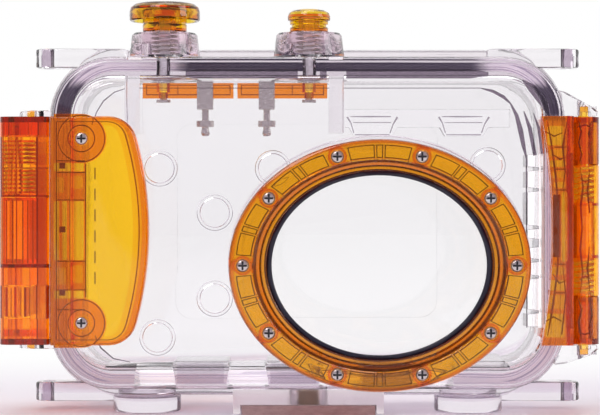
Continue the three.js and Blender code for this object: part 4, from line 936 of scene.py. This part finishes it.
latch = {
    "plateX": (64.8, 73.3), "plateY": (-18.5, -14.3), "z": (19.5, 81), "waist": 3, "radius": 4.2, "sleeve": 3.3,
    "arm": (42.8, 57.7), "knuckle": (32.6, 67.9), "lever": (73.9, 81.2), "relief": 75.4, "back": 26.5,
    "lineFloor": -17.5, "stripFloor": -17.3,
    "pockets": (((66.4, 70.8), (73.2, 78.4), 1.5), ((67, 71.4), (70.2, 72.2), 2.4), ((67.2, 71.4), (67.4, 69.2), 1.6),
        ((67.8, 71.4), (64.4, 66.2), 2.4), ((68.2, 71.4), (61.8, 63.4), 1.8), ((70.2, 71.7), (42, 60.6), 1.4),
        ((67.6, 71.4), (38.4, 40.6), 2.2), ((66.8, 71.4), (34.2, 37), 1.5), ((66.2, 71.4), (29.2, 33), 2.2),
        ((65.8, 71.2), (21.6, 28), 1.4)),
    "levels": (72.7, 66.8, 61.2, 41.3, 33.6),
    "curves": (
        ((66.3, 80, 0.1), (67.4, 74, 0.22), (68.6, 65, 0.3), (69.3, 56, 0.2), (69.5, 48, 0.28), (69, 39, 0.25),
            (67.7, 29, 0.3), (66.4, 22, 0.12)),
        ((71.6, 79.4, 0.12), (70.5, 73, 0.3), (71.1, 66, 0.18), (70.4, 61, 0.1)),
        ((70.4, 41, 0.1), (71.3, 33, 0.22), (70.2, 22.4, 0.2)),
        ((65.6, 77, 0.1), (68.2, 75.6, 0.2), (70.6, 76.6, 0.1)),
        ((67.6, 70.8, 0.1), (69.8, 69.4, 0.25), (71.2, 70, 0.1)),
        ((67.8, 38.6, 0.12), (69.6, 36.2, 0.25), (71.2, 36.8, 0.1)),
        ((65.8, 25.8, 0.1), (68, 27.2, 0.22), (70.2, 26, 0.15))),
    "knuckleFloor": -13.7,
    "knuckleCurves": (
        ((75.7, 67.3, 0.1), (76.4, 62, 0.25), (75.8, 57, 0.3), (76.2, 51, 0.2), (75.7, 45, 0.3), (76.3, 39, 0.2),
            (75.7, 33.4, 0.1)),
        ((78.2, 66.8, 0.1), (77.6, 61, 0.3), (78.2, 55, 0.2)), ((78.1, 46, 0.1), (77.6, 40, 0.3), (78.2, 34, 0.1)),
        ((75.6, 64.4, 0.1), (77, 63.4, 0.25), (78.5, 64.2, 0.1)),
        ((75.6, 59.6, 0.1), (77.2, 60.4, 0.2), (78.4, 59.8, 0.1)),
        ((75.6, 37, 0.1), (77, 38, 0.25), (78.5, 37.2, 0.1))),
    "leverFloor": -13.3, "gap": (32.3, 68.2), "springBores": ((21, 33), (67.5, 79.5)),
    "rooms": (((21, 30.8), 4), ((31.6, 40.9), 9), ((41.4, 47.8), 3), ((48.6, 56.6), 3), ((57.2, 67.2), 10),
        ((67.8, 79.4), 7)),
    "sideRooms": ((21, 31.4), (33.4, 41.2), (43, 57.2), (59, 67.2), (69.4, 79.4)),
    "ribs": (59.2, 60.6, 62, 63.4, 64.8, 66.2, 34, 35.4, 36.8, 38.2, 39.6),
    "leverCurves": (((75.2, 80.2, 0.1), (76, 77, 0.25), (75.3, 74, 0.2), (76.1, 71, 0.25), (75.6, 68.8, 0.1)),
        ((78.7, 79.8, 0.1), (78, 76.4, 0.3), (78.7, 73, 0.2), (78.1, 69, 0.1)),
        ((75, 78.2, 0.1), (77, 78.8, 0.25), (79, 78, 0.1)),
        ((75.2, 31.8, 0.1), (76.1, 29, 0.25), (75.3, 25.6, 0.3), (76, 20.6, 0.1)),
        ((78.4, 31.6, 0.1), (78.9, 27.5, 0.25), (78, 24, 0.2), (78.6, 20.4, 0.1)),
        ((75, 23, 0.1), (76.8, 22.2, 0.25), (79, 23, 0.1))),
}


def latchPlate():
    low, high = latch["z"]
    x, y = latchAxis
    front, back = latch["plateY"]
    middle = (low + high) / 2
    half = (high - low) / 2
    radius = (half ** 2 + latch["waist"] ** 2) / (2 * latch["waist"])
    plate = block(latch["plateX"], latch["plateY"], latch["z"])
    cut(plate, [rod(latch["plateX"][0] + latch["waist"] - radius, (-30, 0), middle, radius, "y", 360)])
    roundEdges(plate, lambda p: p.y < -18.4, 0.9, 4)
    cut(plate, [block(px, (front + skin, -12), pz, 0.5, "y", 3) for px, pz, skin in latch["pockets"]])
    cut(plate, [block((68.3, 71.5), (latch["lineFloor"], -12), (z - 0.14, z + 0.14)) for z in latch["levels"]])
    for points in latch["curves"]:
        cut(plate, [strip(points, (latch["lineFloor"], -12))])
    cut(plate, [block((67.9, 69.9), (latch["stripFloor"], -12), (43.2, 60))])
    join(plate, [block((71.8, 73.3), (-16.4, -4.3), latch["z"])])
    cut(plate, [rod(x, y, (low - 1, high + 1), latch["radius"] + 0.3, steps=56)])
    join(plate, [rod(x, y, latch["knuckle"], latch["radius"], steps=56),
                 block((71.8, x), (y, y + latch["radius"]), latch["arm"])])
    cut(plate, [pinBore(latchAxis, (low - 1, high + 1)),
                rod(x, y, (low, latch["arm"][0]), latch["sleeve"], steps=40),
                rod(x, y, (latch["arm"][1], high), latch["sleeve"], steps=40)])
    cut(plate, [block((72.1, 73), (latch["stripFloor"], -5), (43.4, 59.6))])
    cut(plate, [tube(x, y, (43.6, 57), 3.4, 2.5)])
    for points in latch["knuckleCurves"]:
        cut(plate, [strip(points, (-16, latch["knuckleFloor"]))])
    # Engraved lines and strips, and the hollow round the knuckle, get painted shade
    finishAmber(plate, "latch_plate", "latchAmber", {latch["lineFloor"]: "shadeLineAmber", latch["stripFloor"]: "deepShadeAmber",
                                                     latch["knuckleFloor"]: "shadeLineAmber"})
    paintFaces(plate, "deepShadeAmber",
               lambda p, n: p.x < 75.2 and 43 < p.z < 57.5 and abs(hypot(p.x - x, p.y - y) - 3.4) < 0.15)


def latchLever():
    low, high = latch["z"]
    x, y = latchAxis
    inner, outer = latch["lever"]
    body = join(rod(x, y, latch["z"], latch["radius"], steps=56),
                [block((inner, outer), (y, 12.4), latch["z"]),
                 block((latch["relief"], outer), (10, latch["back"]), latch["z"])])
    roundEdges(body, lambda p: p.x > outer - 0.1 and p.y > latch["back"] - 0.1, 3, 6)
    cut(body, [
        rod(x, y, latch["gap"], latch["radius"] + 0.3, steps=56),
        block((71, 83), (-17, y), latch["gap"]),
        block((71, x), (y, y + 4.5), latch["gap"]),
        pinBore(latchAxis, (low - 1, high + 1)),
        *[rod(x, y, z, 3, steps=40) for z in latch["springBores"]],
    ])
    rooms = [block((latch["relief"] + 0.9, outer - 0.9), (-4.9, latch["back"] - back), z, 0.6, "y", 3)
             for z, back in latch["rooms"]]
    rooms += [block((inner + 0.7, latch["relief"]), (-4.9, 11.4), z, 0.3, "y", 2)
              for z in latch["sideRooms"]]
    cut(body, rooms)
    ribs = [block((at - 0.25, at + 0.25), (-5, 3), z) for at in (77.4, 78.9)
            for z in ((33, 40), (42.4, 56.8), (58, 66))]
    ribs += [block((inner + 0.5, outer - 0.5), (-4.95, 2.5), (z, z + 0.55))
             for z in latch["ribs"]]
    join(body, ribs)
    for points in latch["leverCurves"]:
        cut(body, [strip(points, (-16, latch["leverFloor"]))])
    # The floors of the engraved curves get painted shade
    return finishAmber(body, "latch_lever", "leverAmber", {latch["leverFloor"]: "shadeLineAmber"}, "lever")


latchPlate()
latchLever()
print("latch done")


# button caps: thin domed shells on hollow stems, so that light gets through them

caps = {
    "shutter": {
        "shell": ((1.9, 105.1), (5.8, 105.1), (6.1, 105.4), (6.1, 111), (6.4, 111.3), (8.1, 111.1), (8.4, 110.4),
            (8.55, 108.5), (8.8, 108.15), (9.45, 108.1), (9.75, 108.5), (9.75, 110.7), (9.4, 111.9), (8.5, 112.7),
            (6.9, 113.1), (3.6, 113.2), (0, 113.2)),
        "hollow": ((3.2, 106.1), (4.7, 106.1), (4.7, 111.2), (3.2, 111.2), (3.2, 106.1)),
        "dome": ((0, 111.75), (8.4, 111.75), (8.2, 112.15), (6.8, 112.5), (0, 112.6)), "grooves": (107.1, 109.2)},
    "power": {
        "shell": ((1.9, 105.1), (5.1, 105.1), (5.3, 105.3), (5.3, 106.3), (4.8, 106.4), (4.8, 107.1), (5.3, 107.2),
            (5.3, 108.1), (5.8, 108.3), (5.9, 108.5), (5.9, 109.4), (5.5, 110.4), (4.6, 111), (3, 111.35),
            (0, 111.5)),
        "hollow": ((3, 106), (4, 106), (4, 109.2), (3, 109.2), (3, 106)),
        "dome": ((0, 109.7), (5, 109.7), (4.7, 110.2), (3.6, 110.7), (0, 110.9)), "grooves": ()},
}


def buttonCap(name):
    x, y = buttons[name], buttons["y"]
    cap = lathe([(0, 109.1), (1.9, 109.1), *caps[name]["shell"]], (x, y, 0), "z", 72)
    cut(cap, [lathe(caps[name][room], (x, y, 0), "z", 72) for room in ("hollow", "dome")])
    for z in caps[name]["grooves"]:
        cut(cap, [tube(x, y, (z, z + 0.35), 7, 5.85, steps=72)])
    return finishAmber(cap, f"{name}_cap", "capAmber", body=f"{name}_button", bevel=0.1)


# A round wire coiled about an upright axis
def coil(name, x, y, radius, z, turns, wire):
    bm = bmesh.new()
    low, high = z[0] + wire / 2, z[1] - wire / 2
    bmesh.ops.create_circle(bm, segments=12, radius=wire / 2, matrix=Matrix.Translation((x + radius, y, low))
                            @ Matrix.Rotation(pi / 2, 4, "X"))
    bmesh.ops.spin(bm, geom=bm.verts[:] + bm.edges[:], cent=(x, y, 0), axis=(0, 0, 1), angle=2 * pi * turns,
                   dvec=(0, 0, (high - low) / (turns * 30)), steps=turns * 30, use_duplicate=False)
    bmesh.ops.holes_fill(bm, edges=[e for e in bm.edges if e.is_boundary], sides=12)
    return finishPiece(addSolid(name, bm), f"{name}_fine", "front_half", "brightSteel", [name], 60)


for name in caps:
    buttonCap(name)
    spring = coil(f"{name}_spring", buttons[name], buttons["y"], 3.5, (98.2, 104.8), 5, 0.6)
    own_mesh(spring)
for name, z in (("hinge_spring_lower", (60.2, 67.4)), ("hinge_spring_upper", (68.2, 75.4))):
    coil(name, *hingeAxis, 2.5, z, 5, 0.8)
for name, z in (("latch_spring_lower", (32.6, 42.4)), ("latch_spring_upper", (58.1, 67.9))):
    coil(name, *latchAxis, 2.6, z, 6, 0.8)
print("caps and springs done")


# small pieces that keep their CAD shape with softer edges

dressed = [
    ("front_half", "plate_metal", "plateMetal", 0.2, ["tripod_plate"]),
    ("front_half", "brass", "turnedBrass", 0.15, ["tripod_insert"]),
    ("front_half", "seal_rubber", "sealRubber", 0.3, ["shutter_seal", "power_seal"]),
]
for name in ("shutter", "power"):
    dressed += [
        (f"{name}_button", "bright_steel", "brightSteel", 0.1, [f"{name}_clip", f"{name}_bar_screw"]),
        (f"{name}_button", "bright_steel", "sleeveSteel", 0.1, [f"{name}_shaft"]),
        (f"{name}_reach", "bright_steel", "brightSteel", 0.15, [f"{name}_finger"]),
        (f"{name}_adjuster", "bright_steel", "brightSteel", 0.15, [f"{name}_tip"]),
    ]
for body, slot, material, bevel, nodes in dressed:
    for node in nodes:
        dressNode(node, body, material, bevel)
dressNode("camera_tray", "front_half", "rackPlastic", 0.35)
# Two hooks on the top rack, drawn by shallow grooves in its front whose floors get painted shade
hook = {
    "floor": -9.4, "steps": (0, 24.8),
    "lines": (((13.7, 81.1, 0.08), (19, 81.1, 0.17), (24.6, 81.1, 0.1)), ((14.4, 79.5, 0.06), (24.6, 79.5, 0.09)),
        ((12.8, 81, 0.22), (13.8, 79.4, 0.12), (14.6, 76.7, 0.1)),
        ((26.4, 81, 0.24), (25.2, 79, 0.12), (24.4, 76.7, 0.12)), ((14.9, 76.2, 0.1), (24.2, 76.2, 0.14))),
}
grooves = [strip([(x + along, z, half) for x, z, half in points], (-11, hook["floor"]))
           for along in hook["steps"] for points in hook["lines"]]
# Rack sides and groove floors get painted shade, rack fronts a painted glow
for node, voids, look in (("side_rack", [], "litPlastic"), ("top_rack", grooves, "rackFrontGlow")):
    rack = dressNode(node, "front_half", "rackPlastic", 0.15, voids, {hook["floor"]: "rackEdgeShade"})
    paintFaces(rack, "rackEdgeShade", lambda p, n: abs(n.y) < 0.3)
    paintFaces(rack, look, lambda p, n: n.y < -0.9 and p.y < -9.6)
for node, (x, y) in (("hinge_pin", hingeAxis), ("latch_pin", latchAxis)):
    dressNode(node, "front_half", "amber", 0.15, [rod(x, y, (18, 82.5), 0.95)])
for node, (left, right) in (("shutter_bar", (-43.1, -18.2)), ("power_bar", (-17.1, 7.5))):
    lines = [block((left + 0.9, right - 0.9), (0.9, 5), z) for z in ((90, 90.25), (87.2, 87.45))]
    lines += [block((x, x + 0.22), (0.9, 5), (87.3, 90.1)) for x in (left + 0.9, left + 9.5, right - 9.7, right - 1.1)]
    # The floors of the engraved lines get painted shade
    dressNode(node, f"{node[:-4]}_button", "amber", 0.1, lines, {0.9: "shadeLineAmber"})
print("small pieces done")


# floor, light and background

studio = {
    "floorNear": (0.98, 0.93, 0.98), "floorSize": 4, "behind": (1, 1, 1), "around": (0.36, 0.3, 0.37), "fill": 0.5,
    "fillColour": (0.97, 0.97, 1), "fade": (0.05, 0.24), "turn": (-0.1, 0.5),
}


def addFloor():
    bm = bmesh.new()
    bmesh.ops.create_grid(bm, x_segments=1, y_segments=1, size=studio["floorSize"])
    floor = addObject("floor", bm)
    material, tree, shader, output = startMaterial("floorPaper")
    feed(tree, shader, {"Base Color": (*studio["floorNear"], 1), "Roughness": 0.6})
    far = smoothStep(tree, split(tree, places(tree))["Y"], *studio["fade"])
    glow = addNode(tree, "ShaderNodeEmission", {"Color": (*studio["behind"], 1)})
    share = compute(tree, "MULTIPLY", far, cameraRays(tree))
    feed(tree, output, {"Surface": mixShaders(tree, share, shader.outputs["BSDF"], glow.outputs["Emission"])})
    floor.data.materials.append(material)


def addWorld():
    scene.world = bpy.data.worlds.new("studio")
    scene.world.use_nodes = True
    tree = scene.world.node_tree
    tree.nodes.clear()
    behind = smoothStep(tree, split(tree, places(tree, "Generated"))["Y"], *studio["turn"])
    tone = addNode(tree, "ShaderNodeMix", {"Factor": behind, "A": (*studio["around"], 1),
                                           "B": (*studio["behind"], 1)}, data_type="RGBA")
    fill = addNode(tree, "ShaderNodeBackground", {"Color": (*studio["fillColour"], 1), "Strength": studio["fill"]})
    shown = addNode(tree, "ShaderNodeBackground", {"Color": tone.outputs["Result"]})
    mix = mixShaders(tree, cameraRays(tree), fill.outputs["Background"], shown.outputs["Background"])
    addNode(tree, "ShaderNodeOutputWorld", {"Surface": mix})


lamps = {
    "keyLamp": {"place": (-0.6, -0.9, 1.1), "size": 0.7, "power": 7},
    "sideLamp": {"place": (1, -0.4, 0.5), "size": 0.5, "power": 3},
    "topLamp": {"place": (0.1, 0.3, 1.3), "size": 0.8, "power": 4},
}


def addLamps():
    for name, lamp in lamps.items():
        data = bpy.data.lights.new(name, "AREA")
        data.shape = "SQUARE"
        data.size = lamp["size"]
        data.energy = lamp["power"]
        obj = bpy.data.objects.new(name, data)
        obj.location = lamp["place"]
        aim = Vector((0, 0, 0.05)) - Vector(lamp["place"])
        obj.rotation_euler = aim.to_track_quat("-Z", "Y").to_euler()
        scene.collection.objects.link(obj)


addFloor()
addWorld()
addLamps()
print("studio set")
